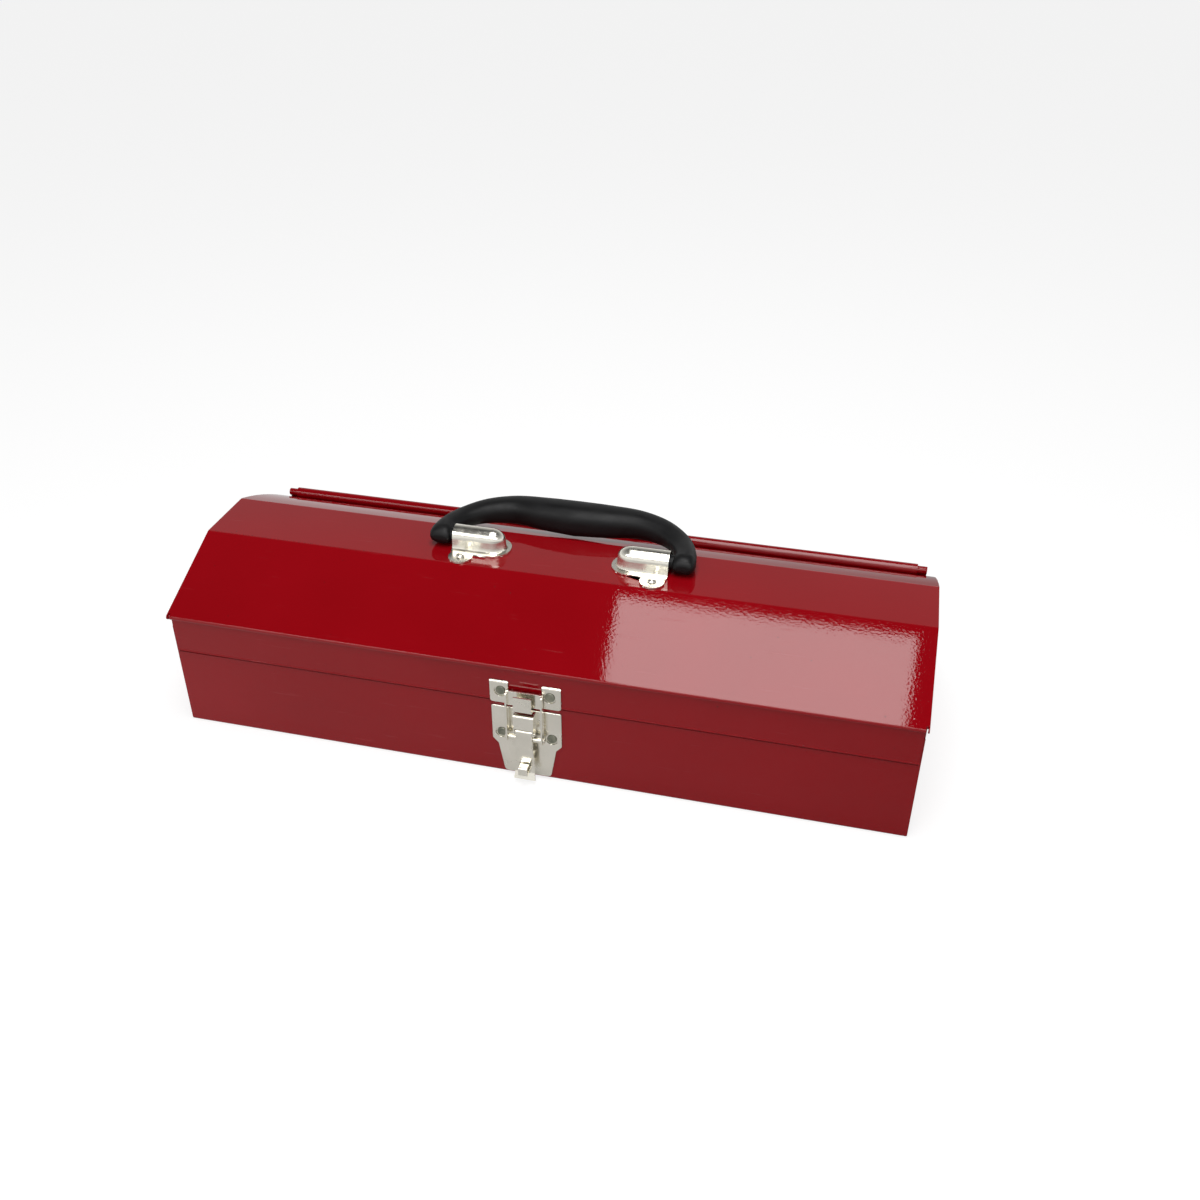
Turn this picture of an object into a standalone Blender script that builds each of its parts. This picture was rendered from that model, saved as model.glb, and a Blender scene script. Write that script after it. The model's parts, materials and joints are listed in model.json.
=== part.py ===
"""Steel hip-roof toolbox with a draw latch, a folding handle and a lift-out tray.

Sizes are in millimetres and become metres when a piece is placed. +Z is up, the latch faces -Y, and
the origin is the middle of the flat underside.
"""

import math

import bmesh
import bpy
from mathutils import Vector

MM = 0.001

# Box
LENGTH = 482.6
DEPTH = 172.0
SHEET = 0.8
GAP = 0.3
SEAM_Z = 59.3
EAVE_Z = 88.2
REAR_EAVE_Z = 85.0
TOP_Z = 115.0
FLAT_HALF = 24.0
FLANGE_HALF_LENGTH = 242.5
SKIRT_HALF_LENGTH = 240.2
LID_FLANGE = 6.5
FOLD_RADIUS = 1.6
END_FLANGE = 9.0
FRONT = -DEPTH / 2
FRONT_LEAN = math.atan((TOP_Z - EAVE_Z) / (DEPTH / 2 - FLAT_HALF))
REAR_LEAN = math.atan((TOP_Z - REAR_EAVE_Z) / (DEPTH / 2 - FLAT_HALF))
CORNER_RADIUS = 2.2
RIM_RADIUS = 1.0

# Rolled rear hinge
HINGE_Y = 85.6
HINGE_Z = 89.4
BEAD_RADIUS = 2.6
CURL_RADIUS = 3.8
BEAD_HALF_LENGTH = 237.5
CURL_HALF_LENGTH = 231.0

# Handle
HANDLE_Z = 122.5
HANDLE_PIN_RADIUS = 4.8
HANDLE_PIN_SPAN = (47.0, 78.0)
GRIP_SPANS = 3
GRIP_END_RADIUS = 7.25
GRIP_SQUARENESS = 0.82
BRACKET_OPEN_X = 72.7
BRACKET_DOME_X = 48.0
BRACKET_DOME_RADIUS = 7.3
BRACKET_NOSE = 1.35
BRACKET_PLATE = 1.2
BRACKET_HALF_WIDTH = 12.5
TAB_X = 64.2
TAB_Y = 16.5
TAB_RADIUS = 8.0

# Latch; "proud" is the distance in front of the front wall
PLATE = 1.2
STAMP_RADIUS = 0.8
SEAT_DEPTH = 0.7
EAR_RADIUS = 2.4
EAR_TOP_Z = 75.5
KEEPER_RIVETS = (16.0, 67.6)
LATCH_RIVETS = (16.5, 33.9)
SKIRT_PROUD = GAP + SHEET
KEEPER_PROUD = SKIRT_PROUD + GAP
NOSE_HALF_WIDTH = 5.9
NOSE_PROUD = 9.4
NOSE_LOW_Z = 57.4
NOSE_TOP_Z = 69.2
LEVER_PROUD = 6.6
LEVER_Z = 40.3
LEVER_TOP_Z = 42.3
LEVER_SHEET = 0.9
LEVER_HALF_WIDTH = 5.4
HOUSING_HALF_WIDTH = 6.6
HOUSING_PROUD = 8.6
HOUSING_LOW_Z = 43.7
HOUSING_TOP_Z = 54.3
HINGE_PIN_RADIUS = 0.8
BAIL_PROUD = 5.2
BAIL_Z = 34.9
BAIL_LEG_OUT = 12.1
BAIL_PIN_RADIUS = 1.0
STAPLE_HALF_WIDTH = 3.0
STAPLE_LEGS_Z = (9.9, 15.6)
STAPLE_PROUD = 13.2

# Tray
TRAY_HALF_LENGTH = 229.5
TRAY_FRONT = -74.0
TRAY_BACK = 71.0
TRAY_FLOOR_Z = 41.0
TRAY_RIM_Z = 75.0
TRAY_HANDLE_Y = -1.5
TRAY_HANDLE_Z = 46.5
TRAY_HANDLE_ARM = 50.0
WIRE_RADIUS = 2.2

# Fasteners
SHANK_RADIUS = 2.0
HOLE_RADIUS = 2.3

ARC_STEP = 22.5
STAMP_STEPS = 2
SIDES = 16

RED = ("red_gloss_paint", (0.33, 0.004, 0.008), 0.22, 0.0)
NICKEL = ("nickel_plate", (0.62, 0.58, 0.50), 0.25, 1.0)
BLACK = ("black_moulding", (0.012, 0.012, 0.013), 0.5, 0.0)
ZINC = ("zinc_wire", (0.55, 0.55, 0.56), 0.35, 1.0)


# Outlines: lists of (a, b) points in a plane

def arc(centre, radius, start, end):
    """Points on a circle from one angle to another, in degrees."""
    steps = max(1, math.ceil(abs(end - start) / ARC_STEP))
    angles = [math.radians(start + (end - start) * i / steps) for i in range(steps + 1)]
    return [(centre[0] + radius * math.cos(t), centre[1] + radius * math.sin(t)) for t in angles]


def rounded(corners, closed=True):
    """The outline through corners (a, b) or (a, b, radius), with an arc at each that has a radius."""
    points = []
    for i, corner in enumerate(corners):
        here = Vector(corner[:2])
        at_end = not closed and i in (0, len(corners) - 1)
        if len(corner) == 2 or at_end:
            points.append(tuple(here))
            continue
        before = (Vector(corners[i - 1][:2]) - here).normalized()
        after = (Vector(corners[(i + 1) % len(corners)][:2]) - here).normalized()
        half = before.angle(after) / 2
        centre = here + (before + after).normalized() * corner[2] / math.sin(half)
        reach = corner[2] / math.tan(half)
        first = here + before * reach - centre
        last = here + after * reach - centre
        start = math.degrees(math.atan2(first.y, first.x))
        turn = math.degrees(math.atan2(first.x * last.y - first.y * last.x, first.dot(last)))
        points += arc(centre, corner[2], start, start + turn)
    return points


def offset(path, distance, closed=False):
    """The path moved to its left by a distance, with mitred corners."""
    moved = []
    for i, point in enumerate(path):
        here = Vector(point)
        ends = []
        if closed or i > 0:
            ends.append((here - Vector(path[i - 1])).normalized())
        if closed or i < len(path) - 1:
            ends.append((Vector(path[(i + 1) % len(path)]) - here).normalized())
        lefts = [Vector((-d.y, d.x)) for d in ends]
        mitre = sum(lefts, Vector((0, 0))).normalized()
        moved.append(tuple(here + mitre * distance / mitre.dot(lefts[0])))
    return moved


def bent_sheet(path, thickness):
    """The outline of a sheet whose middle follows the path."""
    return offset(path, thickness / 2) + offset(path, -thickness / 2)[::-1]


def rectangle(a0, b0, a1, b1, radius=0.0):
    corners = [(a0, b0), (a1, b0), (a1, b1), (a0, b1)]
    return rounded([(a, b, radius) for a, b in corners]) if radius else corners


def circle(centre, radius, sides=SIDES):
    angles = [2 * math.pi * (i + 0.5) / sides for i in range(sides)]
    return [(centre[0] + radius * math.cos(t), centre[1] + radius * math.sin(t)) for t in angles]


def proud(distance):
    """The Y of a point that stands this far in front of the front wall."""
    return FRONT - distance


# Solids, in millimetres

def at(axis, level, a, b):
    return {"X": (level, a, b), "Y": (a, level, b), "Z": (a, b, level)}[axis]


def loft(rings):
    """A closed solid through rings of equally many points, capped at both ends."""
    bm = bmesh.new()
    loops = [[bm.verts.new(point) for point in ring] for ring in rings]
    for lower, upper in zip(loops, loops[1:]):
        for i in range(len(lower)):
            j = (i + 1) % len(lower)
            bm.faces.new((lower[i], lower[j], upper[j], upper[i]))
    bm.faces.new(loops[0][::-1])
    bm.faces.new(loops[-1])
    bmesh.ops.recalc_face_normals(bm, faces=bm.faces)
    return bm


def stacked(rings, axis):
    """The loft through outlines (outline, level) along an axis."""
    return loft([[at(axis, level, a, b) for a, b in outline] for outline, level in rings])


def prism(outline, axis, low, high):
    return stacked([(outline, low), (outline, high)], axis)


def rim(outline, face, back, radius):
    """Rings (outline, level) that round the edge of a face; the rest of the plate lies toward back."""
    depth = math.copysign(radius, back - face)
    rings = []
    for turn in [math.radians(90 * i / STAMP_STEPS) for i in range(STAMP_STEPS + 1)]:
        inset = radius * (1 - math.cos(turn))
        ring = offset(outline, inset, closed=True) if inset else outline
        rings.append((ring, face + depth * (1 - math.sin(turn))))
    return rings


def stamped(outline, back, front, radius):
    """A plate across Y whose front edge is rounded all the way round."""
    return stacked([(outline, back)] + rim(outline, front, back, radius), "Y")


def turned(profile, axis, centre, sides=SIDES):
    """A solid of revolution from (level, radius) pairs along an axis."""
    return stacked([(circle(centre, radius, sides), level) for level, radius in profile], axis)


def mirrored(bm):
    """The solid on the other side of X = 0."""
    bmesh.ops.scale(bm, vec=(-1, 1, 1), verts=bm.verts)
    bmesh.ops.reverse_faces(bm, faces=bm.faces)
    return bm


def on_side(bm, side):
    return bm if side > 0 else mirrored(bm)


def helper(bm):
    mesh = bpy.data.meshes.new("helper")
    bm.to_mesh(mesh)
    bm.free()
    obj = bpy.data.objects.new("helper", mesh)
    bpy.context.scene.collection.objects.link(obj)
    return obj


def combine(first, second, operation):
    """The Boolean of two solids."""
    body = helper(first)
    tool = helper(second)
    modifier = body.modifiers.new("boolean", "BOOLEAN")
    modifier.operation = operation
    modifier.solver = "EXACT"
    modifier.object = tool
    bpy.context.view_layer.update()
    graph = bpy.context.evaluated_depsgraph_get()
    result = bmesh.new()
    result.from_mesh(body.evaluated_get(graph).to_mesh())
    for obj in (body, tool):
        mesh = obj.data
        bpy.data.objects.remove(obj)
        bpy.data.meshes.remove(mesh)
    return result


def union(*solids):
    whole = solids[0]
    for solid in solids[1:]:
        whole = combine(whole, solid, "UNION")
    return whole


def cut(solid, *cutters):
    for cutter in cutters:
        solid = combine(solid, cutter, "DIFFERENCE")
    return solid


def drill(axis, centre, low, high, radius=HOLE_RADIUS):
    return prism(circle(centre, radius), axis, low, high)


# Placing

JOINTS = {
    "lid": ((0.0, HINGE_Y, HINGE_Z), None),
    "handle": ((0.0, 0.0, HANDLE_Z), "lid"),
    "lever": ((0.0, proud(LEVER_PROUD), LEVER_Z), None),
    "bail": ((0.0, proud(BAIL_PROUD), BAIL_Z), "lever"),
    "tray": ((0.0, 0.0, TRAY_FLOOR_Z), None),
    "tray_handle": ((0.0, TRAY_HANDLE_Y, TRAY_HANDLE_Z), "tray"),
}


def add_joints():
    """One empty on each joint's axis, parented as the bodies are."""
    empties = {}
    for name, (place, parent) in JOINTS.items():
        empty = bpy.data.objects.new(name + "_joint", None)
        bpy.context.scene.collection.objects.link(empty)
        start = JOINTS[parent][0] if parent else (0, 0, 0)
        empty.location = (Vector(place) - Vector(start)) * MM
        empty.parent = empties.get(parent)
        empties[name] = empty
    return empties


def material(finish):
    name, colour, roughness, metallic = finish
    if name in bpy.data.materials:
        return bpy.data.materials[name]
    made = bpy.data.materials.new(name)
    made.use_nodes = True
    shader = made.node_tree.nodes["Principled BSDF"]
    shader.inputs["Base Color"].default_value = (*colour, 1)
    shader.inputs["Roughness"].default_value = roughness
    shader.inputs["Metallic"].default_value = metallic
    return made


def add_piece(name, bm, finish, joint=None, empties=None):
    """Makes the solid an object, with its origin on its joint's axis."""
    origin = Vector(JOINTS[joint][0]) if joint else Vector((0, 0, 0))
    bmesh.ops.translate(bm, vec=-origin, verts=bm.verts)
    bmesh.ops.scale(bm, vec=(MM, MM, MM), verts=bm.verts)
    mesh = bpy.data.meshes.new(name)
    bm.to_mesh(mesh)
    bm.free()
    mesh.shade_smooth()
    mesh.set_sharp_from_angle(angle=math.radians(30))
    mesh.materials.append(material(finish))
    obj = bpy.data.objects.new(name, mesh)
    bpy.context.scene.collection.objects.link(obj)
    if joint:
        obj.parent = empties[joint]
    return obj


def slope_z(y):
    """Height of the lid's outer surface over the front or rear slope."""
    lean = FRONT_LEAN if y < 0 else REAR_LEAN
    return TOP_Z - (abs(y) - FLAT_HALF) * math.tan(lean)


# Base

def base_shell():
    """Front wall, floor and back wall in one sheet, with a hem in front and the hinge bead behind."""
    middle = DEPTH / 2 - SHEET / 2
    floor = SHEET / 2
    wall_top = 77.6
    back_top = 84.3
    hem_middle = -middle + 1.3
    folds = [(-middle, floor, FOLD_RADIUS), (middle, floor, FOLD_RADIUS)]
    walls = rounded([(-middle, wall_top), *folds, (middle, back_top)], closed=False)
    hem = [(hem_middle, 72.0)] + arc((-middle + 0.65, wall_top), 0.65, 0, 180) + [(-middle, 73.0)]
    bead_middle = BEAD_RADIUS - SHEET / 2
    bead = [(middle, 78.0)] + arc((HINGE_Y, HINGE_Z), bead_middle, 270, 600)
    shell = prism(bent_sheet(walls, SHEET), "X", -LENGTH / 2, LENGTH / 2)
    hem_half_length = LENGTH / 2 - END_FLANGE - 2
    shell = union(
        shell,
        prism(bent_sheet(hem, SHEET), "X", -hem_half_length, hem_half_length),
        prism(bent_sheet(bead, SHEET), "X", -BEAD_HALF_LENGTH, BEAD_HALF_LENGTH),
    )
    through = (proud(1), proud(-2))
    holes = [drill("Y", (side * LATCH_RIVETS[0], LATCH_RIVETS[1]), *through) for side in (-1, 1)]
    holes += [base_corner(side) for side in (-1, 1)]
    return cut(shell, *holes, *staple_slots(*through))


def base_corner(side):
    """What is cut from the lower corner of the walls and floor to round it."""
    end = LENGTH / 2
    outline = arc((end - CORNER_RADIUS, CORNER_RADIUS), CORNER_RADIUS, -5, -85)
    outline += [(end - CORNER_RADIUS - 1, -1.0), (end + 1, -1.0), (end + 1, CORNER_RADIUS + 1)]
    return on_side(prism(outline, "Y", -DEPTH / 2 - 1, DEPTH / 2 + 1), side)


def end_plate(side):
    """A hip-shaped end, dished so that its flange runs all the way round inside the base and lid."""
    edge = DEPTH / 2 - SHEET - GAP
    under_top = TOP_Z - SHEET - 0.4
    low = SHEET + GAP
    front_clear = SHEET / math.cos(FRONT_LEAN) + 0.45
    rear_clear = SHEET / math.cos(REAR_LEAN) + 0.45
    front_crease = FLAT_HALF + (TOP_Z - front_clear - under_top) / math.tan(FRONT_LEAN)
    rear_crease = FLAT_HALF + (TOP_Z - rear_clear - under_top) / math.tan(REAR_LEAN)
    outer = rounded(
        [
            (-edge, low, 3.4),
            (edge, low, 3.4),
            (edge, slope_z(edge) - rear_clear, 1.2),
            (rear_crease, under_top, 2.0),
            (-front_crease, under_top, 2.0),
            (-edge, slope_z(-edge) - front_clear, 1.2),
        ]
    )
    inner = offset(outer, SHEET, closed=True)
    face = LENGTH / 2
    flange_end = face - END_FLANGE
    rings = rim(outer, face, flange_end, RIM_RADIUS)[::-1]
    rings += [(outer, flange_end), (inner, flange_end), (inner, face - SHEET)]
    return on_side(stacked(rings, "X"), side)


def tray_ledge(side):
    """An angle on the end plate; the tray's end rests on its level leg."""
    against = LENGTH / 2 - SHEET - GAP - SHEET / 2
    level = TRAY_FLOOR_Z - GAP - SHEET / 2
    path = rounded([(224.0, level), (against, level, 1.2), (against, level - 11)], closed=False)
    return on_side(prism(bent_sheet(path, SHEET), "Y", -60, 60), side)


# Lid

def lid_section():
    """Slopes and flat top, with the rounded drip edge in front."""
    tip_radius = 1.8
    tip_y = -88.05
    tip = (
        tip_y + tip_radius * math.sin(FRONT_LEAN),
        slope_z(tip_y) - tip_radius * math.cos(FRONT_LEAN),
    )
    nose = arc(tip, tip_radius, 90 + math.degrees(FRONT_LEAN), 270)
    rear = 84.2
    top = rounded(
        [(rear, slope_z(rear)), (FLAT_HALF, TOP_Z, 4.0), (-FLAT_HALF, TOP_Z, 4.0), nose[0]],
        closed=False,
    )
    inner_front = -DEPTH / 2 - GAP
    under = rounded(
        [
            (inner_front, slope_z(inner_front) - SHEET / math.cos(FRONT_LEAN)),
            (SHEET * math.tan(FRONT_LEAN / 2) - FLAT_HALF, TOP_Z - SHEET, 3.2),
            (FLAT_HALF - SHEET * math.tan(REAR_LEAN / 2), TOP_Z - SHEET, 3.2),
            (rear, slope_z(rear) - SHEET / math.cos(REAR_LEAN)),
        ],
        closed=False,
    )
    return top + nose[1:] + [(proud(SKIRT_PROUD), tip[1] - tip_radius)] + under


def end_flanges(side):
    """Three strips folded down outside the end plate, notched where the slopes meet the flat."""
    front = Vector((-88.2, slope_z(-88.2)))
    creases = (Vector((-FLAT_HALF, TOP_Z)), Vector((FLAT_HALF, TOP_Z)))
    rear = Vector((83.5, slope_z(83.5)))
    front_taper = LID_FLANGE * math.tan(FRONT_LEAN / 2)
    rear_taper = LID_FLANGE * math.tan(REAR_LEAN / 2)
    panels = [
        (front, creases[0], 5.0, front_taper),
        (*creases, front_taper, rear_taper),
        (creases[1], rear, rear_taper, 0.0),
    ]
    notch = 0.3
    strips = []
    for start, end, start_taper, end_taper in panels:
        along = (end - start).normalized()
        inward = Vector((along.y, -along.x))
        outline = [
            start + along * notch + inward * 0.4,
            end - along * notch + inward * 0.4,
            end - along * (notch + end_taper) + inward * LID_FLANGE,
            start + along * (notch + start_taper) + inward * LID_FLANGE,
        ]
        points = [tuple(point) for point in outline]
        strips.append(on_side(prism(points, "X", FLANGE_HALF_LENGTH - SHEET, FLANGE_HALF_LENGTH), side))
    return strips


def corner_relief(side):
    """The slit between the drip edge and the end flange."""
    outline = rectangle(-90.0, 80.0, -86.6, 90.0)
    return on_side(prism(outline, "X", SKIRT_HALF_LENGTH + 0.1, FLANGE_HALF_LENGTH - SHEET), side)


def lid_shell():
    axis = (HINGE_Y, HINGE_Z)
    curl_path = arc(axis, CURL_RADIUS - SHEET / 2, 30, 244)
    skirt = rectangle(proud(SKIRT_PROUD), SEAM_Z, proud(GAP), slope_z(proud(GAP)) - 0.9)
    fold = circle((84.1, 86.05), 0.75, 12)
    lid = union(
        prism(lid_section(), "X", -FLANGE_HALF_LENGTH, FLANGE_HALF_LENGTH),
        prism(skirt, "X", -SKIRT_HALF_LENGTH, SKIRT_HALF_LENGTH),
        prism(bent_sheet(curl_path, SHEET), "X", -CURL_HALF_LENGTH, CURL_HALF_LENGTH),
        prism(fold, "X", -CURL_HALF_LENGTH, CURL_HALF_LENGTH),
        *end_flanges(1),
        *end_flanges(-1),
    )
    sides = (-1, 1)
    bracket_holes = [drill("Z", (a * TAB_X, b * TAB_Y), TOP_Z - 3, TOP_Z + 2) for a in sides for b in sides]
    x, z = KEEPER_RIVETS
    keeper_holes = [drill("Y", (a * x, z), proud(3), proud(-1)) for a in sides]
    reliefs = [corner_relief(a) for a in sides]
    return cut(lid, *bracket_holes, *keeper_holes, *reliefs)


# Handle

def dome(radius, open_x, low):
    """A tunnel with sides that flare to the foot, a round roof and a long rounded nose."""
    roof = arc((0, HANDLE_Z), radius, 90, 0)
    roof += [(radius + 0.2, low + 3.6), (radius + 0.9, low + 1.4), (radius + 1.6, low)]
    bm = bmesh.new()
    ridge = bm.verts.new((open_x, 0, HANDLE_Z + radius))
    apex = bm.verts.new((BRACKET_DOME_X, 0, HANDLE_Z + radius))
    columns = [[ridge] + [bm.verts.new((open_x, out, z)) for out, z in roof[1:]]]
    for turn in [math.radians(90 + ARC_STEP * i) for i in range(round(180 / ARC_STEP) + 1)]:
        along, across = math.cos(turn) * BRACKET_NOSE, math.sin(turn)
        rib = [bm.verts.new((BRACKET_DOME_X + out * along, out * across, z)) for out, z in roof[1:]]
        columns.append([apex] + rib)
    columns.append([ridge] + [bm.verts.new((open_x, -out, z)) for out, z in roof[1:]])
    for near, far in zip(columns, columns[1:]):
        for i in range(len(near) - 1):
            corners = [near[i], near[i + 1], far[i + 1], far[i]]
            if corners[0] is corners[3]:
                corners = corners[:3]
            bm.faces.new(corners)
    bm.faces.new(columns[0] + columns[-1][:0:-1])
    bm.faces.new([column[-1] for column in columns])
    bmesh.ops.recalc_face_normals(bm, faces=bm.faces)
    return bm


def handle_bracket(side):
    """A domed shell on a flange with a tab in front and behind."""
    low = TOP_Z + GAP
    flange = rounded(
        [
            (BRACKET_OPEN_X, -BRACKET_HALF_WIDTH, 1.5),
            (BRACKET_OPEN_X, BRACKET_HALF_WIDTH, 1.5),
            (34.5, BRACKET_HALF_WIDTH, 12.0),
            (34.5, -BRACKET_HALF_WIDTH, 12.0),
        ]
    )
    plates = [prism(flange, "Z", low, low + BRACKET_PLATE)]
    for front in (-1, 1):
        tab = circle((TAB_X, front * TAB_Y), TAB_RADIUS)
        plates.append(prism(tab, "Z", low, low + BRACKET_PLATE))
    body = union(*plates, dome(BRACKET_DOME_RADIUS, BRACKET_OPEN_X, low))
    holes = [drill("Z", (TAB_X, front * TAB_Y), low - 1, low + 3) for front in (-1, 1)]
    inside = dome(BRACKET_DOME_RADIUS - BRACKET_PLATE, BRACKET_OPEN_X + 2, low - 1)
    return on_side(cut(body, inside, *holes), side)


def bracket_rivet(side, front):
    head = TOP_Z + 2 * GAP + BRACKET_PLATE
    under = TOP_Z - SHEET - GAP
    profile = [
        (head + 1.4, 0.9),
        (head + 1.1, 2.0),
        (head + 0.5, 2.8),
        (head, 3.1),
        (head, SHANK_RADIUS),
        (under, SHANK_RADIUS),
        (under, 3.0),
        (under - 1.0, 2.6),
    ]
    return turned(profile, "Z", (side * TAB_X, front * TAB_Y))


def spline(points, per_span):
    """Catmull-Rom points through rows of numbers."""
    rows = [Vector(row) for row in points]
    padded = [rows[0] * 2 - rows[1]] + rows + [rows[-1] * 2 - rows[-2]]
    smooth = []
    for i in range(len(rows) - 1):
        a, b, c, d = padded[i:i + 4]
        for step in range(per_span):
            t = step / per_span
            bend = (2 * a - 5 * b + 4 * c - d) * t ** 2 + (3 * b - a - 3 * c + d) * t ** 3
            smooth.append(0.5 * (2 * b + (c - a) * t + bend))
    return smooth + [rows[-1]]


def handle_grip():
    """A bowed grip, swollen in the middle, with a pivot pin running inward from each end."""
    half = [
        (0.0, 40.4, 12.2, 11.4),
        (22.0, 41.6, 11.4, 10.6),
        (43.0, 42.6, 9.6, 9.2),
        (61.0, 36.2, 8.6, 8.0),
        (74.0, 24.5, 7.9, 6.3),
        (80.5, 11.0, 7.3, 6.4),
        (81.9, 0.0, 7.7, 6.9),
    ]
    right = spline(half, GRIP_SPANS)
    line = [Vector((-row[0], *row[1:])) for row in right[:0:-1]] + right
    rings = []
    for i, row in enumerate(line):
        before = line[max(i - 1, 0)]
        after = line[min(i + 1, len(line) - 1)]
        along = Vector((after[0] - before[0], after[1] - before[1])).normalized()
        rings.append(handle_ring(row, along))
    tip = line[-1]
    for reach, width in ((3.8, 0.97), (5.9, 0.87), (6.9, 0.7), (7.18, 0.48)):
        height = math.sqrt(GRIP_END_RADIUS ** 2 - reach ** 2)
        rings.append(handle_ring(Vector((tip[0], -reach, tip[2] * width, height)), Vector((0, -1))))
        rings.insert(0, handle_ring(Vector((-tip[0], -reach, tip[2] * width, height)), Vector((0, 1))))
    grip = loft(rings)
    pins = [
        turned([(side * x, HANDLE_PIN_RADIUS) for x in HANDLE_PIN_SPAN], "X", (0, HANDLE_Z))
        for side in (-1, 1)
    ]
    return union(grip, *pins)


def squarish(value):
    """Takes a circle's sine or cosine to that of a slightly square round."""
    return math.copysign(abs(value) ** GRIP_SQUARENESS, value)


def handle_ring(row, along):
    """A squarish oval across the grip's middle line."""
    across = Vector((-along.y, along.x))
    ring = []
    for i in range(SIDES):
        turn = 2 * math.pi * (i + 0.5) / SIDES
        out = across * row[2] * squarish(math.cos(turn))
        ring.append((row[0] + out.x, row[1] + out.y, HANDLE_Z + row[3] * squarish(math.sin(turn))))
    return ring


# Latch

def keeper_plate():
    """Two ears joined by a bridge, whose tongue bends forward and up into a hook."""
    back, front = proud(KEEPER_PROUD), proud(KEEPER_PROUD + PLATE)
    face = rounded(
        [
            (-23.2, 58.3, 2.0),
            (23.2, 58.3, 2.0),
            (23.2, EAR_TOP_Z, 1.5),
            (10.7, EAR_TOP_Z, 1.5),
            (10.7, 66.0, 0.8),
            (-10.7, 66.0, 0.8),
            (-10.7, EAR_TOP_Z, 1.5),
            (-23.2, EAR_TOP_Z, 1.5),
        ]
    )
    tongue_sheet = 1.0
    root = proud(KEEPER_PROUD + 0.6)
    tip = proud(NOSE_PROUD - tongue_sheet / 2)
    low = NOSE_LOW_Z + tongue_sheet / 2
    path = rounded([(root, 63.0), (root, low, 1.2), (tip, low, 1.2), (tip, NOSE_TOP_Z)], closed=False)
    tongue = prism(bent_sheet(path, tongue_sheet), "X", -NOSE_HALF_WIDTH, NOSE_HALF_WIDTH)
    bend = (front + EAR_RADIUS, EAR_TOP_Z - EAR_RADIUS)
    above = EAR_TOP_Z + 1.0
    before = front - 1.0
    ear_top = arc(bend, EAR_RADIUS, 180, 90) + [(bend[0], above), (before, above), (before, bend[1])]
    plate = union(stamped(face, back, front, STAMP_RADIUS), tongue)
    return cut(plate, prism(ear_top, "X", -24.0, 24.0), *rivet_seats(KEEPER_RIVETS, front, back))


def rivet_seats(place, front, back):
    """A through hole and a shallow round recess for each of a plate's two rivets."""
    seats = []
    for centre in (place, (-place[0], place[1])):
        seats.append(turned([(front - 0.5, 4.3), (front + SEAT_DEPTH, 3.9)], "Y", centre))
        seats.append(drill("Y", centre, front - 1, back + 1))
    return seats


def rivet_face(head):
    """The flat front of a rivet's head, slightly dished."""
    return [(head - 0.2, 1.4), (head - 0.4, 2.6), (head - 0.3, 3.1), (head, 3.3)]


def keeper_rivet(side):
    """A flat head in the keeper's recess; the shank ends flush in the skirt."""
    head = proud(KEEPER_PROUD + PLATE - SEAT_DEPTH + GAP)
    profile = [*rivet_face(head), (head, SHANK_RADIUS), (proud(GAP + 0.1), SHANK_RADIUS)]
    return turned(profile, "Y", (side * KEEPER_RIVETS[0], KEEPER_RIVETS[1]))


def latch_base_plate():
    """The lower plate, tapered downwards, with the housing that carries the lever's pin."""
    back, front = proud(GAP), proud(GAP + PLATE)
    half = [(23.0, 55.0, 1.5), (23.0, 28.3, 1.0), (19.3, 24.3, 1.0), (15.5, 2.4, 3.0)]
    face = rounded([(-x, z, r) for x, z, r in half] + half[::-1])
    roof = rounded(
        [
            (proud(1.0), HOUSING_TOP_Z - 0.45),
            (proud(HOUSING_PROUD - 0.45), HOUSING_TOP_Z - 0.45, 1.3),
            (proud(HOUSING_PROUD - 0.45), HOUSING_LOW_Z),
        ],
        closed=False,
    )
    housing = [prism(bent_sheet(roof, 0.9), "X", -HOUSING_HALF_WIDTH, HOUSING_HALF_WIDTH)]
    pivot = (proud(LEVER_PROUD), LEVER_Z)
    cheek = [(proud(1.0), 53.6), (proud(1.0), 44.0)]
    cheek += arc(pivot, HOUSING_PROUD - LEVER_PROUD, 315, 180)
    cheek += [(proud(HOUSING_PROUD), 52.8), (proud(HOUSING_PROUD - 0.8), 53.6)]
    for side in (-1, 1):
        housing.append(on_side(prism(cheek, "X", HOUSING_HALF_WIDTH - 0.9, HOUSING_HALF_WIDTH), side))
    plate = union(stamped(face, back, front, STAMP_RADIUS), *housing)
    pin_hole = drill("X", pivot, -9, 9, HINGE_PIN_RADIUS + GAP)
    seats = rivet_seats(LATCH_RIVETS, front, back)
    return cut(plate, pin_hole, *seats, *staple_slots(front - 1, back + 1))


def latch_rivet(side):
    """A flat head in the lower plate's recess, clenched inside the front wall."""
    head = proud(GAP + PLATE - SEAT_DEPTH + GAP)
    inside = proud(-SHEET - GAP)
    profile = [
        *rivet_face(head),
        (head, SHANK_RADIUS),
        (inside, SHANK_RADIUS),
        (inside, 3.2),
        (inside + 0.9, 2.8),
    ]
    return turned(profile, "Y", (side * LATCH_RIVETS[0], LATCH_RIVETS[1]))


def staple_slots(front, back):
    """A slot for each leg of the padlock staple."""
    reach = STAPLE_HALF_WIDTH + GAP
    tall = PLATE / 2 + GAP
    return [prism(rectangle(-reach, z - tall, reach, z + tall), "Y", front, back) for z in STAPLE_LEGS_Z]


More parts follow.
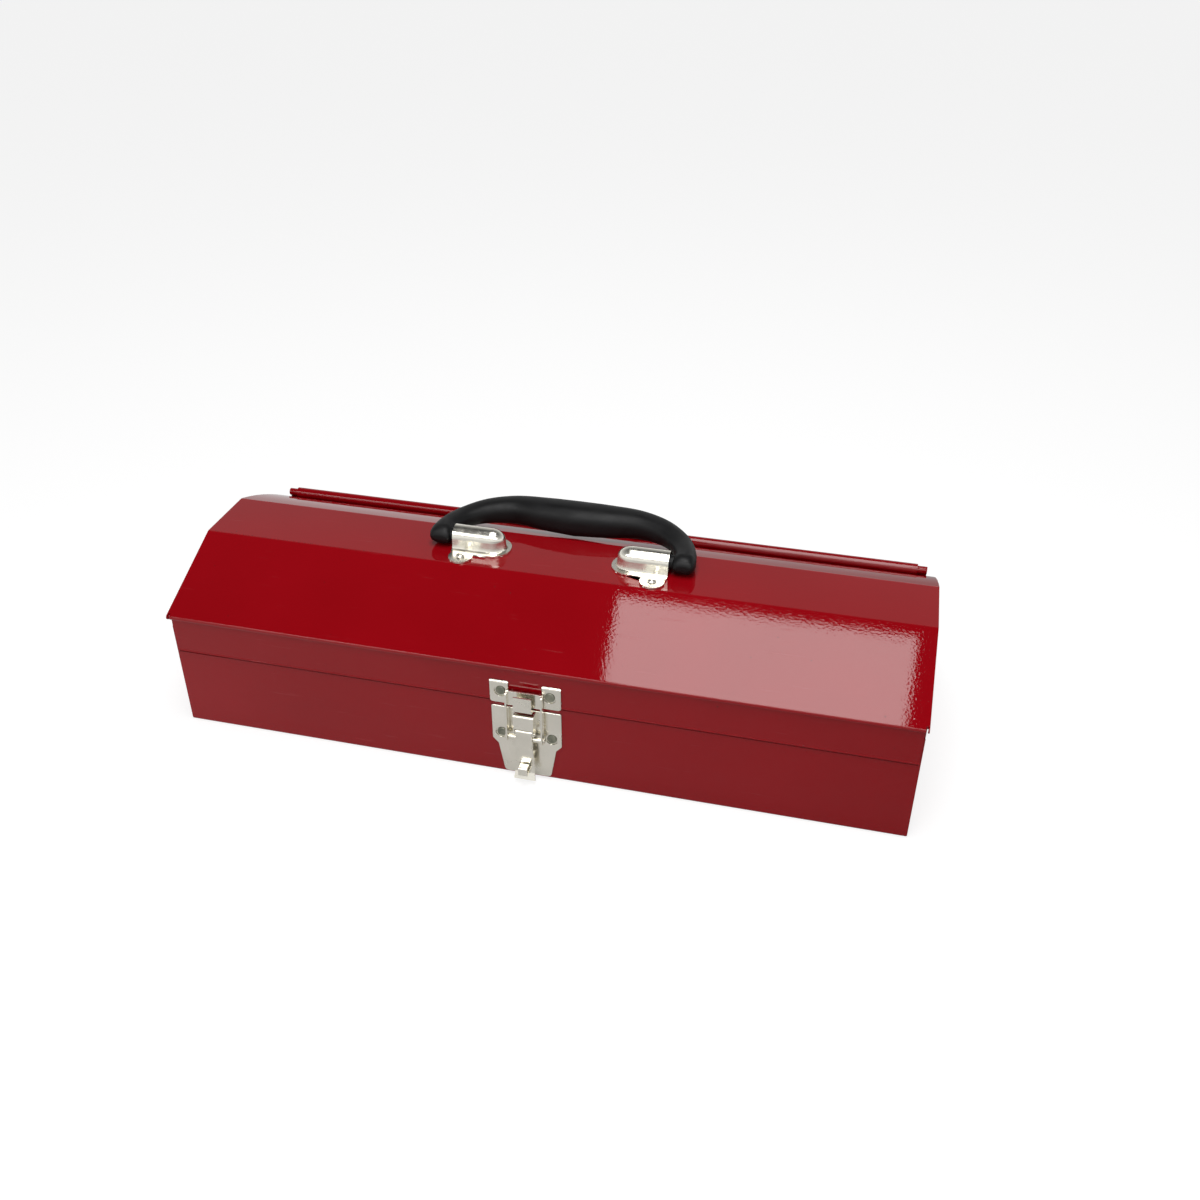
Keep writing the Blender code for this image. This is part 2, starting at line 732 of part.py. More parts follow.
def padlock_staple():
    """A strap bent into a loop, its legs through the plate and wall and clenched behind."""
    behind = proud(-SHEET - GAP - PLATE / 2)
    outer = proud(STAPLE_PROUD - PLATE / 2)
    low, high = STAPLE_LEGS_Z
    path = rounded(
        [
            (behind, high + 4.0),
            (behind, high),
            (outer, high, 1.3),
            (outer, low, 1.3),
            (behind, low),
            (behind, low - 4.0),
        ],
        closed=False,
    )
    return prism(bent_sheet(path, PLATE), "X", -STAPLE_HALF_WIDTH, STAPLE_HALF_WIDTH)


def latch_lever():
    """A tapered face with two cheeks for its pins, a slot for the staple and a flared tip."""
    half_sheet = LEVER_SHEET / 2
    path = rounded(
        [
            (proud(6.4), LEVER_TOP_Z),
            (proud(8.6 - half_sheet), LEVER_TOP_Z, 1.3),
            (proud(7.4 - half_sheet), 18.0, 8.0),
            (proud(7.2 - half_sheet), 9.5, 5.0),
            (proud(9.6 - half_sheet), 4.0),
        ],
        closed=False,
    )
    front = rounded(
        [
            (-LEVER_HALF_WIDTH, 43.0),
            (-LEVER_HALF_WIDTH, 30.0, 10.0),
            (-6.3, 18.0, 10.0),
            (-6.4, 9.0, 6.0),
            (-7.3, 3.0, 0.6),
            (7.3, 3.0, 0.6),
            (6.4, 9.0, 6.0),
            (6.3, 18.0, 10.0),
            (LEVER_HALF_WIDTH, 30.0, 10.0),
            (LEVER_HALF_WIDTH, 43.0),
        ]
    )
    web = combine(
        prism(bent_sheet(path, LEVER_SHEET), "X", -9, 9),
        prism(front, "Y", proud(14), proud(4)),
        "INTERSECT",
    )
    pivot = (proud(LEVER_PROUD), LEVER_Z)
    pin = (proud(BAIL_PROUD), BAIL_Z)
    cheek = [(proud(8.2), 41.0)] + arc(pivot, 1.7, 80, 0) + arc(pin, 2.3, 20, -90)
    cheek += [(proud(5.6), 26.0), (proud(7.4), 24.0)]
    outer = LEVER_HALF_WIDTH - 0.1
    cheeks = [on_side(prism(cheek, "X", outer - LEVER_SHEET, outer), side) for side in (-1, 1)]
    slot = prism(rectangle(-3.5, 8.6, 3.5, 17.2, 1.0), "Y", proud(14), proud(4))
    return cut(
        union(web, *cheeks),
        slot,
        drill("X", pivot, -9, 9, HINGE_PIN_RADIUS + GAP),
        drill("X", pin, -9, 9, BAIL_PIN_RADIUS + GAP),
    )


def latch_hinge_pin():
    centre = (proud(LEVER_PROUD), LEVER_Z)
    end = HOUSING_HALF_WIDTH + GAP
    right = [(end, HINGE_PIN_RADIUS), (end, 1.5), (end + 0.5, 1.1)]
    left = [(-level, radius) for level, radius in right[::-1]]
    return turned(left + right, "X", centre)


def bail_pin(side):
    """A shouldered rivet through the lever's cheek and the bail's leg."""
    inner = LEVER_HALF_WIDTH - LEVER_SHEET - GAP
    leg = BAIL_LEG_OUT - PLATE
    profile = [
        (inner - 0.8, 1.5),
        (inner, 1.7),
        (inner, BAIL_PIN_RADIUS),
        (LEVER_HALF_WIDTH + GAP, BAIL_PIN_RADIUS),
        (LEVER_HALF_WIDTH + GAP, 1.8),
        (leg - GAP, 1.8),
        (leg - GAP, BAIL_PIN_RADIUS),
        (BAIL_LEG_OUT + GAP, BAIL_PIN_RADIUS),
        (BAIL_LEG_OUT + GAP, 2.0),
        (BAIL_LEG_OUT + GAP + 0.5, 1.7),
        (BAIL_LEG_OUT + GAP + 0.8, 1.0),
    ]
    return on_side(turned(profile, "X", (proud(BAIL_PROUD), BAIL_Z)), side)


def latch_bail():
    """A stirrup: a web behind the keeper's hook and a long leg down each side."""
    pin = (proud(BAIL_PROUD), BAIL_Z)
    back, front = proud(3.4), proud(6.8)
    leg = rounded([(back, 69.6, 1.0), (front, 69.2, 1.7), (front, 36.0)], closed=False)
    leg = leg[:-1] + arc(pin, 2.9, 150, 390) + [(back, 39.0), (back, 67.6)]
    legs = [on_side(prism(leg, "X", BAIL_LEG_OUT - PLATE, BAIL_LEG_OUT), side) for side in (-1, 1)]
    web = prism(rectangle(proud(4.6), 59.2, back, 69.8), "X", -11.2, 11.2)
    return cut(union(web, *legs), drill("X", pin, -14, 14, BAIL_PIN_RADIUS + GAP))


# Tray

def tray_pan():
    """A shallow dished pan with a thicker rolled rim."""
    def outline(grow):
        reach = TRAY_HALF_LENGTH + grow
        return rectangle(-reach, TRAY_FRONT - grow, reach, TRAY_BACK + grow, 4.0 + grow)

    rim_low = TRAY_RIM_Z - 4.0
    rings = [
        (0.0, TRAY_FLOOR_Z),
        (0.0, rim_low),
        (SHEET, rim_low),
        (SHEET, TRAY_RIM_Z),
        (-SHEET, TRAY_RIM_Z),
        (-SHEET, TRAY_FLOOR_Z + SHEET),
    ]
    return loft([[at("Z", level, a, b) for a, b in outline(grow)] for grow, level in rings])


def tray_handle():
    """A wire bow that lies flat on the tray's floor; its feet turn in the clips."""
    corners = [(68.0, 0.0), (54.0, 0.0, 5.0), (54.0, TRAY_HANDLE_ARM, 7.0)]
    corners += [(-a, b, r) for a, b, r in [(54.0, TRAY_HANDLE_ARM, 7.0), (54.0, 0.0, 5.0)]] + [(-68.0, 0.0)]
    path = rounded(corners, closed=False)
    left, right = offset(path, WIRE_RADIUS), offset(path, -WIRE_RADIUS)
    rings = []
    for (ax, ay), (bx, by) in zip(left, right):
        middle = Vector(((ax + bx) / 2, (ay + by) / 2))
        across = Vector((ax, ay)) - middle
        ring = []
        for i in range(10):
            turn = 2 * math.pi * i / 10
            out = middle + across * math.cos(turn)
            ring.append((out.x, TRAY_HANDLE_Y + out.y, TRAY_HANDLE_Z + WIRE_RADIUS * math.sin(turn)))
        rings.append(ring)
    return loft(rings)


def tray_handle_clip(side):
    """A saddle over the wire with a foot in front and behind."""
    foot = TRAY_FLOOR_Z + SHEET + GAP + SHEET / 2
    reach = WIRE_RADIUS + 0.4 + SHEET / 2
    bow = arc((TRAY_HANDLE_Y, TRAY_HANDLE_Z), reach, 0, 180)
    path = [(TRAY_HANDLE_Y + 10, foot), (TRAY_HANDLE_Y + reach, foot)] + bow
    path += [(TRAY_HANDLE_Y - reach, foot), (TRAY_HANDLE_Y - 10, foot)]
    return on_side(prism(bent_sheet(path, SHEET), "X", 60.5, 67.5), side)


def build():
    for obj in list(bpy.data.objects):
        bpy.data.objects.remove(obj)
    empties = add_joints()
    sides = {"left": -1, "right": 1}
    add_piece("base_shell", base_shell(), RED)
    add_piece("lid_shell", lid_shell(), RED, "lid", empties)
    add_piece("handle_grip", handle_grip(), BLACK, "handle", empties)
    add_piece("keeper_plate", keeper_plate(), NICKEL, "lid", empties)
    add_piece("latch_base_plate", latch_base_plate(), NICKEL)
    add_piece("padlock_staple", padlock_staple(), NICKEL)
    add_piece("latch_lever", latch_lever(), NICKEL, "lever", empties)
    add_piece("latch_hinge_pin", latch_hinge_pin(), NICKEL)
    add_piece("latch_bail", latch_bail(), NICKEL, "bail", empties)
    add_piece("tray_pan", tray_pan(), RED, "tray", empties)
    add_piece("tray_handle", tray_handle(), ZINC, "tray_handle", empties)
    for name, side in sides.items():
        add_piece("end_plate_" + name, end_plate(side), RED)
        add_piece("tray_ledge_" + name, tray_ledge(side), RED)
        add_piece("handle_bracket_" + name, handle_bracket(side), NICKEL, "lid", empties)
        add_piece("keeper_rivet_" + name, keeper_rivet(side), NICKEL, "lid", empties)
        add_piece("latch_rivet_" + name, latch_rivet(side), NICKEL)
        add_piece("bail_pin_" + name, bail_pin(side), NICKEL, "lever", empties)
        add_piece("tray_handle_clip_" + name, tray_handle_clip(side), ZINC, "tray", empties)
        for place, front in (("front", -1), ("rear", 1)):
            add_piece(f"bracket_rivet_{name}_{place}", bracket_rivet(side, front), NICKEL, "lid", empties)


build()
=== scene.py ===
"""Hip-roof steel toolbox in gloss red enamel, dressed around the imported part.

Sizes are in millimetres in the part's own frame and become metres when a piece is placed. Each
piece takes its place from the part's node of the same name.
"""

import json
import math

import bmesh
import bpy
from mathutils import Matrix, Vector


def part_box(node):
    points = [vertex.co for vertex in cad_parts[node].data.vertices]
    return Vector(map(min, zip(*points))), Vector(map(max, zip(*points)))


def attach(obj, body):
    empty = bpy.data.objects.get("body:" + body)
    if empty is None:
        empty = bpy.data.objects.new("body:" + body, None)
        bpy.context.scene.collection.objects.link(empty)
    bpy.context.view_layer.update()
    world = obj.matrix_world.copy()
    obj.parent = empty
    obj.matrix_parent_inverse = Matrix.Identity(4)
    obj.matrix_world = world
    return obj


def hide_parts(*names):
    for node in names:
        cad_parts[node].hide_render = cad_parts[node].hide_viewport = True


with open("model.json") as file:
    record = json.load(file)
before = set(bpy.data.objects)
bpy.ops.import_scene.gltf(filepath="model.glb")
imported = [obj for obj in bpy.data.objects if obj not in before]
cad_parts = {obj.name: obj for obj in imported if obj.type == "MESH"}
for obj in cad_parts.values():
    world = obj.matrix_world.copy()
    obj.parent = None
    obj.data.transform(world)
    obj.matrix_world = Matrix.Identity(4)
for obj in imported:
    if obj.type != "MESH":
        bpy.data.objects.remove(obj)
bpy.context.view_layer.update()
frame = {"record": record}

MM = 0.001

# Box
LENGTH = 482.6
DEPTH = 172.0
SHEET = 0.8
GAP = 0.3
SEAM_Z = 59.3
EAVE_Z = 88.2
REAR_EAVE_Z = 85.0
TOP_Z = 115.0
FLAT_HALF = 24.0
FLANGE_HALF_LENGTH = 242.5
SKIRT_HALF_LENGTH = 240.2
LID_FLANGE = 6.5
SLOPE_BOW = 1.8
LIP_PROUD = 0.26
GROOVE_DEPTH = 0.5
GROOVE_WIDTH = 1.7
FOLD_RADIUS = 1.6
END_FLANGE = 9.0
FRONT = -DEPTH / 2
FRONT_LEAN = math.atan((TOP_Z - EAVE_Z) / (DEPTH / 2 - FLAT_HALF))
REAR_LEAN = math.atan((TOP_Z - REAR_EAVE_Z) / (DEPTH / 2 - FLAT_HALF))
CORNER_RADIUS = 2.2
RIM_RADIUS = 1.0

# Rolled rear hinge
HINGE_Y = 85.6
HINGE_Z = 89.4
BEAD_RADIUS = 2.6
CURL_RADIUS = 3.8
BEAD_HALF_LENGTH = 237.5
CURL_HALF_LENGTH = 231.0

# Handle
HANDLE_Z = 122.5
HANDLE_PIN_RADIUS = 4.8
HANDLE_PIN_SPAN = (47.0, 78.0)
GRIP_SPANS = 8
GRIP_END_RADIUS = 7.25
GRIP_SQUARENESS = 0.82
BRACKET_OPEN_X = 72.7
BRACKET_DOME_X = 48.0
BRACKET_DOME_RADIUS = 7.3
BRACKET_NOSE = 1.35
BRACKET_PLATE = 1.2
BRACKET_HALF_WIDTH = 12.5
BRACKET_END_X = 34.5
FLANGE_END_RADIUS = 12.0
TAB_X = 64.2
TAB_Y = 16.5
TAB_RADIUS = 8.0

# Latch; "proud" is the distance in front of the front wall
PLATE = 1.2
STAMP_RADIUS = 0.8
SEAT_DEPTH = 0.7
EAR_RADIUS = 2.4
EAR_TOP_Z = 75.5
KEEPER_RIVETS = (16.0, 67.6)
LATCH_RIVETS = (16.5, 33.9)
SKIRT_PROUD = GAP + SHEET
KEEPER_PROUD = SKIRT_PROUD + GAP
NOSE_HALF_WIDTH = 5.9
NOSE_PROUD = 9.4
NOSE_LOW_Z = 57.4
NOSE_TOP_Z = 69.2
LEVER_PROUD = 6.6
LEVER_Z = 40.3
LEVER_TOP_Z = 42.3
LEVER_SHEET = 0.9
LEVER_HALF_WIDTH = 5.4
HOUSING_HALF_WIDTH = 6.6
HOUSING_PROUD = 8.6
HOUSING_LOW_Z = 43.7
HOUSING_TOP_Z = 54.3
HINGE_PIN_RADIUS = 0.8
BAIL_PROUD = 5.2
BAIL_Z = 34.9
BAIL_LEG_OUT = 12.1
BAIL_PIN_RADIUS = 1.0
STAPLE_HALF_WIDTH = 3.0
STAPLE_LEGS_Z = (9.9, 15.6)
STAPLE_PROUD = 13.2

# Tray
TRAY_HALF_LENGTH = 229.5
TRAY_FRONT = -74.0
TRAY_BACK = 71.0
TRAY_FLOOR_Z = 41.0
TRAY_RIM_Z = 75.0
TRAY_HANDLE_Y = -1.5
TRAY_HANDLE_Z = 46.5
TRAY_HANDLE_ARM = 50.0
TRAY_HANDLE_BEND_X = 54.0
TRAY_HANDLE_FOOT_X = 68.0
WIRE_RADIUS = 2.2

# Fasteners
SHANK_RADIUS = 2.0
HOLE_RADIUS = 2.3

# How finely curves are cut
ARC_STEP = 7.5
STAMP_STEPS = 5
SIDES = 48
WIRE_SIDES = 10
BOW_STEPS = 10
EDGE_SEGMENTS = 3
EDGE_ANGLE = 34.0

# Outlines: lists of (a, b) points in a plane

def arc(centre, radius, start, end):
    """Points on a circle from one angle to another, in degrees."""
    steps = max(1, math.ceil(abs(end - start) / ARC_STEP))
    angles = [math.radians(start + (end - start) * i / steps) for i in range(steps + 1)]
    return [(centre[0] + radius * math.cos(t), centre[1] + radius * math.sin(t)) for t in angles]


def rounded(corners, closed=True):
    """The outline through corners (a, b) or (a, b, radius), with an arc at each that has a radius."""
    points = []
    for i, corner in enumerate(corners):
        here = Vector(corner[:2])
        at_end = not closed and i in (0, len(corners) - 1)
        if len(corner) == 2 or at_end:
            points.append(tuple(here))
            continue
        before = (Vector(corners[i - 1][:2]) - here).normalized()
        after = (Vector(corners[(i + 1) % len(corners)][:2]) - here).normalized()
        half = before.angle(after) / 2
        centre = here + (before + after).normalized() * corner[2] / math.sin(half)
        reach = corner[2] / math.tan(half)
        first = here + before * reach - centre
        last = here + after * reach - centre
        start = math.degrees(math.atan2(first.y, first.x))
        turn = math.degrees(math.atan2(first.x * last.y - first.y * last.x, first.dot(last)))
        points += arc(centre, corner[2], start, start + turn)
    return points


def offset(path, distance, closed=False):
    """The path moved to its left by a distance, with mitred corners."""
    moved = []
    for i, point in enumerate(path):
        here = Vector(point)
        ends = []
        if closed or i > 0:
            ends.append((here - Vector(path[i - 1])).normalized())
        if closed or i < len(path) - 1:
            ends.append((Vector(path[(i + 1) % len(path)]) - here).normalized())
        lefts = [Vector((-d.y, d.x)) for d in ends]
        mitre = sum(lefts, Vector((0, 0))).normalized()
        moved.append(tuple(here + mitre * distance / mitre.dot(lefts[0])))
    return moved


def bent_sheet(path, thickness):
    """The outline of a sheet whose middle follows the path."""
    return offset(path, thickness / 2) + offset(path, -thickness / 2)[::-1]


def rectangle(a0, b0, a1, b1, radius=0.0):
    corners = [(a0, b0), (a1, b0), (a1, b1), (a0, b1)]
    return rounded([(a, b, radius) for a, b in corners]) if radius else corners


def circle(centre, radius, sides=SIDES):
    angles = [2 * math.pi * (i + 0.5) / sides for i in range(sides)]
    return [(centre[0] + radius * math.cos(t), centre[1] + radius * math.sin(t)) for t in angles]


def proud(distance):
    """The Y of a point that stands this far in front of the front wall."""
    return FRONT - distance


# Solids, in millimetres

def at(axis, level, a, b):
    return {"X": (level, a, b), "Y": (a, level, b), "Z": (a, b, level)}[axis]


def loft(rings):
    """A closed solid through rings of equally many points, capped at both ends."""
    bm = bmesh.new()
    loops = [[bm.verts.new(point) for point in ring] for ring in rings]
    for lower, upper in zip(loops, loops[1:]):
        for i in range(len(lower)):
            j = (i + 1) % len(lower)
            bm.faces.new((lower[i], lower[j], upper[j], upper[i]))
    bm.faces.new(loops[0][::-1])
    bm.faces.new(loops[-1])
    bmesh.ops.recalc_face_normals(bm, faces=bm.faces)
    return bm


def stacked(rings, axis):
    """The loft through outlines (outline, level) along an axis."""
    return loft([[at(axis, level, a, b) for a, b in outline] for outline, level in rings])


def prism(outline, axis, low, high):
    return stacked([(outline, low), (outline, high)], axis)


def rim(outline, face, back, radius):
    """Rings (outline, level) that round the edge of a face; the rest of the plate lies toward back."""
    depth = math.copysign(radius, back - face)
    rings = []
    for turn in [math.radians(90 * i / STAMP_STEPS) for i in range(STAMP_STEPS + 1)]:
        inset = radius * (1 - math.cos(turn))
        ring = offset(outline, inset, closed=True) if inset else outline
        rings.append((ring, face + depth * (1 - math.sin(turn))))
    return rings


def stamped(outline, back, front, radius):
    """A plate across Y whose front edge is rounded all the way round."""
    return stacked([(outline, back)] + rim(outline, front, back, radius), "Y")


def turned(profile, axis, centre):
    """A solid of revolution from (level, radius) pairs along an axis."""
    return stacked([(circle(centre, radius), level) for level, radius in profile], axis)


def mirrored(bm):
    """The solid on the other side of X = 0."""
    bmesh.ops.scale(bm, vec=(-1, 1, 1), verts=bm.verts)
    bmesh.ops.reverse_faces(bm, faces=bm.faces)
    return bm


def on_side(bm, side):
    return bm if side > 0 else mirrored(bm)


def helper(bm):
    mesh = bpy.data.meshes.new("helper")
    bm.to_mesh(mesh)
    bm.free()
    obj = bpy.data.objects.new("helper", mesh)
    bpy.context.scene.collection.objects.link(obj)
    return obj


def combine(first, second, operation):
    """The Boolean of two solids."""
    body = helper(first)
    tool = helper(second)
    modifier = body.modifiers.new("boolean", "BOOLEAN")
    modifier.operation = operation
    modifier.solver = "EXACT"
    modifier.object = tool
    bpy.context.view_layer.update()
    graph = bpy.context.evaluated_depsgraph_get()
    result = bmesh.new()
    result.from_mesh(body.evaluated_get(graph).to_mesh())
    for obj in (body, tool):
        mesh = obj.data
        bpy.data.objects.remove(obj)
        bpy.data.meshes.remove(mesh)
    return result


def union(*solids):
    whole = solids[0]
    for solid in solids[1:]:
        whole = combine(whole, solid, "UNION")
    return whole


def cut(solid, *cutters):
    for cutter in cutters:
        solid = combine(solid, cutter, "DIFFERENCE")
    return solid


def drill(axis, centre, low, high, radius=HOLE_RADIUS):
    """A cutter for a round hole."""
    return prism(circle(centre, radius), axis, low, high)


def slope_z(y):
    """Height of the lid's outer surface over the front or rear slope."""
    lean = FRONT_LEAN if y < 0 else REAR_LEAN
    return TOP_Z - (abs(y) - FLAT_HALF) * math.tan(lean)


# Base

def base_shell():
    """Front wall, floor and back wall in one sheet, with a hem in front and the hinge bead behind."""
    middle = DEPTH / 2 - SHEET / 2
    floor = SHEET / 2
    wall_top = 77.6
    back_top = 84.3
    hem_middle = -middle + 1.3
    folds = [(-middle, floor, FOLD_RADIUS), (middle, floor, FOLD_RADIUS)]
    walls = rounded([(-middle, wall_top), *folds, (middle, back_top)], closed=False)
    hem = [(hem_middle, 72.0)] + arc((-middle + 0.65, wall_top), 0.65, 0, 180) + [(-middle, 73.0)]
    bead_middle = BEAD_RADIUS - SHEET / 2
    bead = [(middle, 78.0)] + arc((HINGE_Y, HINGE_Z), bead_middle, 270, 600)
    shell = prism(bent_sheet(walls, SHEET), "X", -LENGTH / 2, LENGTH / 2)
    hem_half_length = LENGTH / 2 - END_FLANGE - 2
    shell = union(
        shell,
        prism(bent_sheet(hem, SHEET), "X", -hem_half_length, hem_half_length),
        prism(bent_sheet(bead, SHEET), "X", -BEAD_HALF_LENGTH, BEAD_HALF_LENGTH),
    )
    through = (proud(1), proud(-2))
    holes = [drill("Y", (side * LATCH_RIVETS[0], LATCH_RIVETS[1]), *through) for side in (-1, 1)]
    holes += [base_corner(side) for side in (-1, 1)]
    groove = rectangle(proud(1), SEAM_Z - GROOVE_WIDTH, proud(-GROOVE_DEPTH), SEAM_Z + 1)
    holes.append(prism(groove, "X", -LENGTH / 2 + 1.5, LENGTH / 2 - 1.5))
    return cut(shell, *holes, *staple_slots(*through))


def base_corner(side):
    """What is cut from the lower corner of the walls and floor to round it."""
    end = LENGTH / 2
    outline = arc((end - CORNER_RADIUS, CORNER_RADIUS), CORNER_RADIUS, -5, -85)
    outline += [(end - CORNER_RADIUS - 1, -1.0), (end + 1, -1.0), (end + 1, CORNER_RADIUS + 1)]
    return on_side(prism(outline, "Y", -DEPTH / 2 - 1, DEPTH / 2 + 1), side)


def end_plate(side):
    """A hip-shaped end, dished so that its flange runs all the way round inside the base and lid."""
    edge = DEPTH / 2 - SHEET - GAP
    under_top = TOP_Z - SHEET - 0.4
    low = SHEET + GAP
    front_clear = SHEET / math.cos(FRONT_LEAN) + 0.45
    rear_clear = SHEET / math.cos(REAR_LEAN) + 0.45
    front_crease = FLAT_HALF + (TOP_Z - front_clear - under_top) / math.tan(FRONT_LEAN)
    rear_crease = FLAT_HALF + (TOP_Z - rear_clear - under_top) / math.tan(REAR_LEAN)
    outer = rounded(
        [
            (-edge, low, 3.4),
            (edge, low, 3.4),
            (edge, slope_z(edge) - rear_clear, 1.2),
            (rear_crease, under_top, 2.0),
            (-front_crease, under_top, 2.0),
            (-edge, slope_z(-edge) - front_clear, 1.2),
        ]
    )
    inner = offset(outer, SHEET, closed=True)
    face = LENGTH / 2
    flange_end = face - END_FLANGE
    rings = rim(outer, face, flange_end, RIM_RADIUS)[::-1]
    rings += [(outer, flange_end), (inner, flange_end), (inner, face - SHEET)]
    return on_side(stacked(rings, "X"), side)


def tray_ledge(side):
    """An angle on the end plate; the tray's end rests on its level leg."""
    against = LENGTH / 2 - SHEET - GAP - SHEET / 2
    level = TRAY_FLOOR_Z - GAP - SHEET / 2
    path = rounded([(224.0, level), (against, level, 1.2), (against, level - 11)], closed=False)
    return on_side(prism(bent_sheet(path, SHEET), "Y", -60, 60), side)


# Lid

def lid_section():
    """Slopes and flat top, with the rounded drip edge in front."""
    tip_radius = 1.8
    tip_y = -88.05
    tip = (
        tip_y + tip_radius * math.sin(FRONT_LEAN),
        slope_z(tip_y) - tip_radius * math.cos(FRONT_LEAN),
    )
    nose = arc(tip, tip_radius, 90 + math.degrees(FRONT_LEAN), 270)
    rear = 84.2
    top = rounded(
        [(rear, slope_z(rear)), (FLAT_HALF, TOP_Z, 4.0), (-FLAT_HALF, TOP_Z, 4.0), nose[0]],
        closed=False,
    )
    top[1:1] = bowed(Vector(top[0]), Vector(top[1]))
    inner_front = -DEPTH / 2 - GAP
    under = rounded(
        [
            (inner_front, slope_z(inner_front) - SHEET / math.cos(FRONT_LEAN)),
            (SHEET * math.tan(FRONT_LEAN / 2) - FLAT_HALF, TOP_Z - SHEET, 3.2),
            (FLAT_HALF - SHEET * math.tan(REAR_LEAN / 2), TOP_Z - SHEET, 3.2),
            (rear, slope_z(rear) - SHEET / math.cos(REAR_LEAN)),
        ],
        closed=False,
    )
    return top + nose[1:] + [(proud(SKIRT_PROUD), tip[1] - tip_radius)] + under


def bowed(start, end):
    """Points between the ends of a slope, standing slightly proud of the straight line."""
    outward = Vector(((start - end).y, (end - start).x)).normalized()
    if outward.y < 0:
        outward = -outward
    shares = [i / BOW_STEPS for i in range(1, BOW_STEPS)]
    return [tuple(start.lerp(end, t) + outward * SLOPE_BOW * 4 * t * (1 - t)) for t in shares]


def end_flanges(side):
    """Three strips folded down outside the end plate, notched where the slopes meet the flat."""
    front = Vector((-88.2, slope_z(-88.2)))
    creases = (Vector((-FLAT_HALF, TOP_Z)), Vector((FLAT_HALF, TOP_Z)))
    rear = Vector((83.5, slope_z(83.5)))
    front_taper = LID_FLANGE * math.tan(FRONT_LEAN / 2)
    rear_taper = LID_FLANGE * math.tan(REAR_LEAN / 2)
    panels = [
        (front, creases[0], 5.0, front_taper),
        (*creases, front_taper, rear_taper),
        (creases[1], rear, rear_taper, 0.0),
    ]
    notch = 0.3
    strips = []
    for start, end, start_taper, end_taper in panels:
        along = (end - start).normalized()
        inward = Vector((along.y, -along.x))
        outline = [
            start + along * notch + inward * 0.4,
            end - along * notch + inward * 0.4,
            end - along * (notch + end_taper) + inward * LID_FLANGE,
            start + along * (notch + start_taper) + inward * LID_FLANGE,
        ]
        points = [tuple(point) for point in outline]
        strips.append(on_side(prism(points, "X", FLANGE_HALF_LENGTH - SHEET, FLANGE_HALF_LENGTH), side))
    return strips


def corner_relief(side):
    """The slit between the drip edge and the end flange."""
    outline = rectangle(-90.0, 80.0, -86.6, 90.0)
    return on_side(prism(outline, "X", SKIRT_HALF_LENGTH + 0.1, FLANGE_HALF_LENGTH - SHEET), side)


def lid_shell():
    axis = (HINGE_Y, HINGE_Z)
    curl_path = arc(axis, CURL_RADIUS - SHEET / 2, 30, 244)
    skirt = [
        (proud(SKIRT_PROUD), slope_z(proud(GAP)) - 0.9),
        (proud(SKIRT_PROUD), SEAM_Z + 1.1),
        (proud(SKIRT_PROUD + LIP_PROUD), SEAM_Z + 0.75),
        (proud(SKIRT_PROUD + LIP_PROUD), SEAM_Z + 0.2),
        (proud(SKIRT_PROUD), SEAM_Z),
        (proud(GAP), SEAM_Z),
        (proud(GAP), slope_z(proud(GAP)) - 0.9),
    ]
    fold = circle((84.1, 86.05), 0.75, 12)
    lid = union(
        prism(lid_section(), "X", -FLANGE_HALF_LENGTH, FLANGE_HALF_LENGTH),
        prism(skirt, "X", -SKIRT_HALF_LENGTH, SKIRT_HALF_LENGTH),
        prism(bent_sheet(curl_path, SHEET), "X", -CURL_HALF_LENGTH, CURL_HALF_LENGTH),
        prism(fold, "X", -CURL_HALF_LENGTH, CURL_HALF_LENGTH),
        *end_flanges(1),
        *end_flanges(-1),
    )
    sides = (-1, 1)
    bracket_holes = [drill("Z", (a * TAB_X, b * TAB_Y), TOP_Z - 3, TOP_Z + 2) for a in sides for b in sides]
    x, z = KEEPER_RIVETS
    keeper_holes = [drill("Y", (a * x, z), proud(3), proud(-1)) for a in sides]
    reliefs = [corner_relief(a) for a in sides]
    return cut(lid, *bracket_holes, *keeper_holes, *reliefs)


# Handle

def dome(radius, open_x, low):
    """A tunnel with sides that flare to the foot, a round roof and a long rounded nose."""
    roof = arc((0, HANDLE_Z), radius, 90, 0)
    roof += [(radius + 0.2, low + 3.6), (radius + 0.9, low + 1.4), (radius + 1.6, low)]
    bm = bmesh.new()
    ridge = bm.verts.new((open_x, 0, HANDLE_Z + radius))
    apex = bm.verts.new((BRACKET_DOME_X, 0, HANDLE_Z + radius))
    columns = [[ridge] + [bm.verts.new((open_x, out, z)) for out, z in roof[1:]]]
    for turn in [math.radians(90 + ARC_STEP * i) for i in range(round(180 / ARC_STEP) + 1)]:
        along, across = math.cos(turn) * BRACKET_NOSE, math.sin(turn)
        rib = [bm.verts.new((BRACKET_DOME_X + out * along, out * across, z)) for out, z in roof[1:]]
        columns.append([apex] + rib)
    columns.append([ridge] + [bm.verts.new((open_x, -out, z)) for out, z in roof[1:]])
    for near, far in zip(columns, columns[1:]):
        for i in range(len(near) - 1):
            corners = [near[i], near[i + 1], far[i + 1], far[i]]
            if corners[0] is corners[3]:
                corners = corners[:3]
            bm.faces.new(corners)
    bm.faces.new(columns[0] + columns[-1][:0:-1])
    bm.faces.new([column[-1] for column in columns])
    bmesh.ops.recalc_face_normals(bm, faces=bm.faces)
    return bm


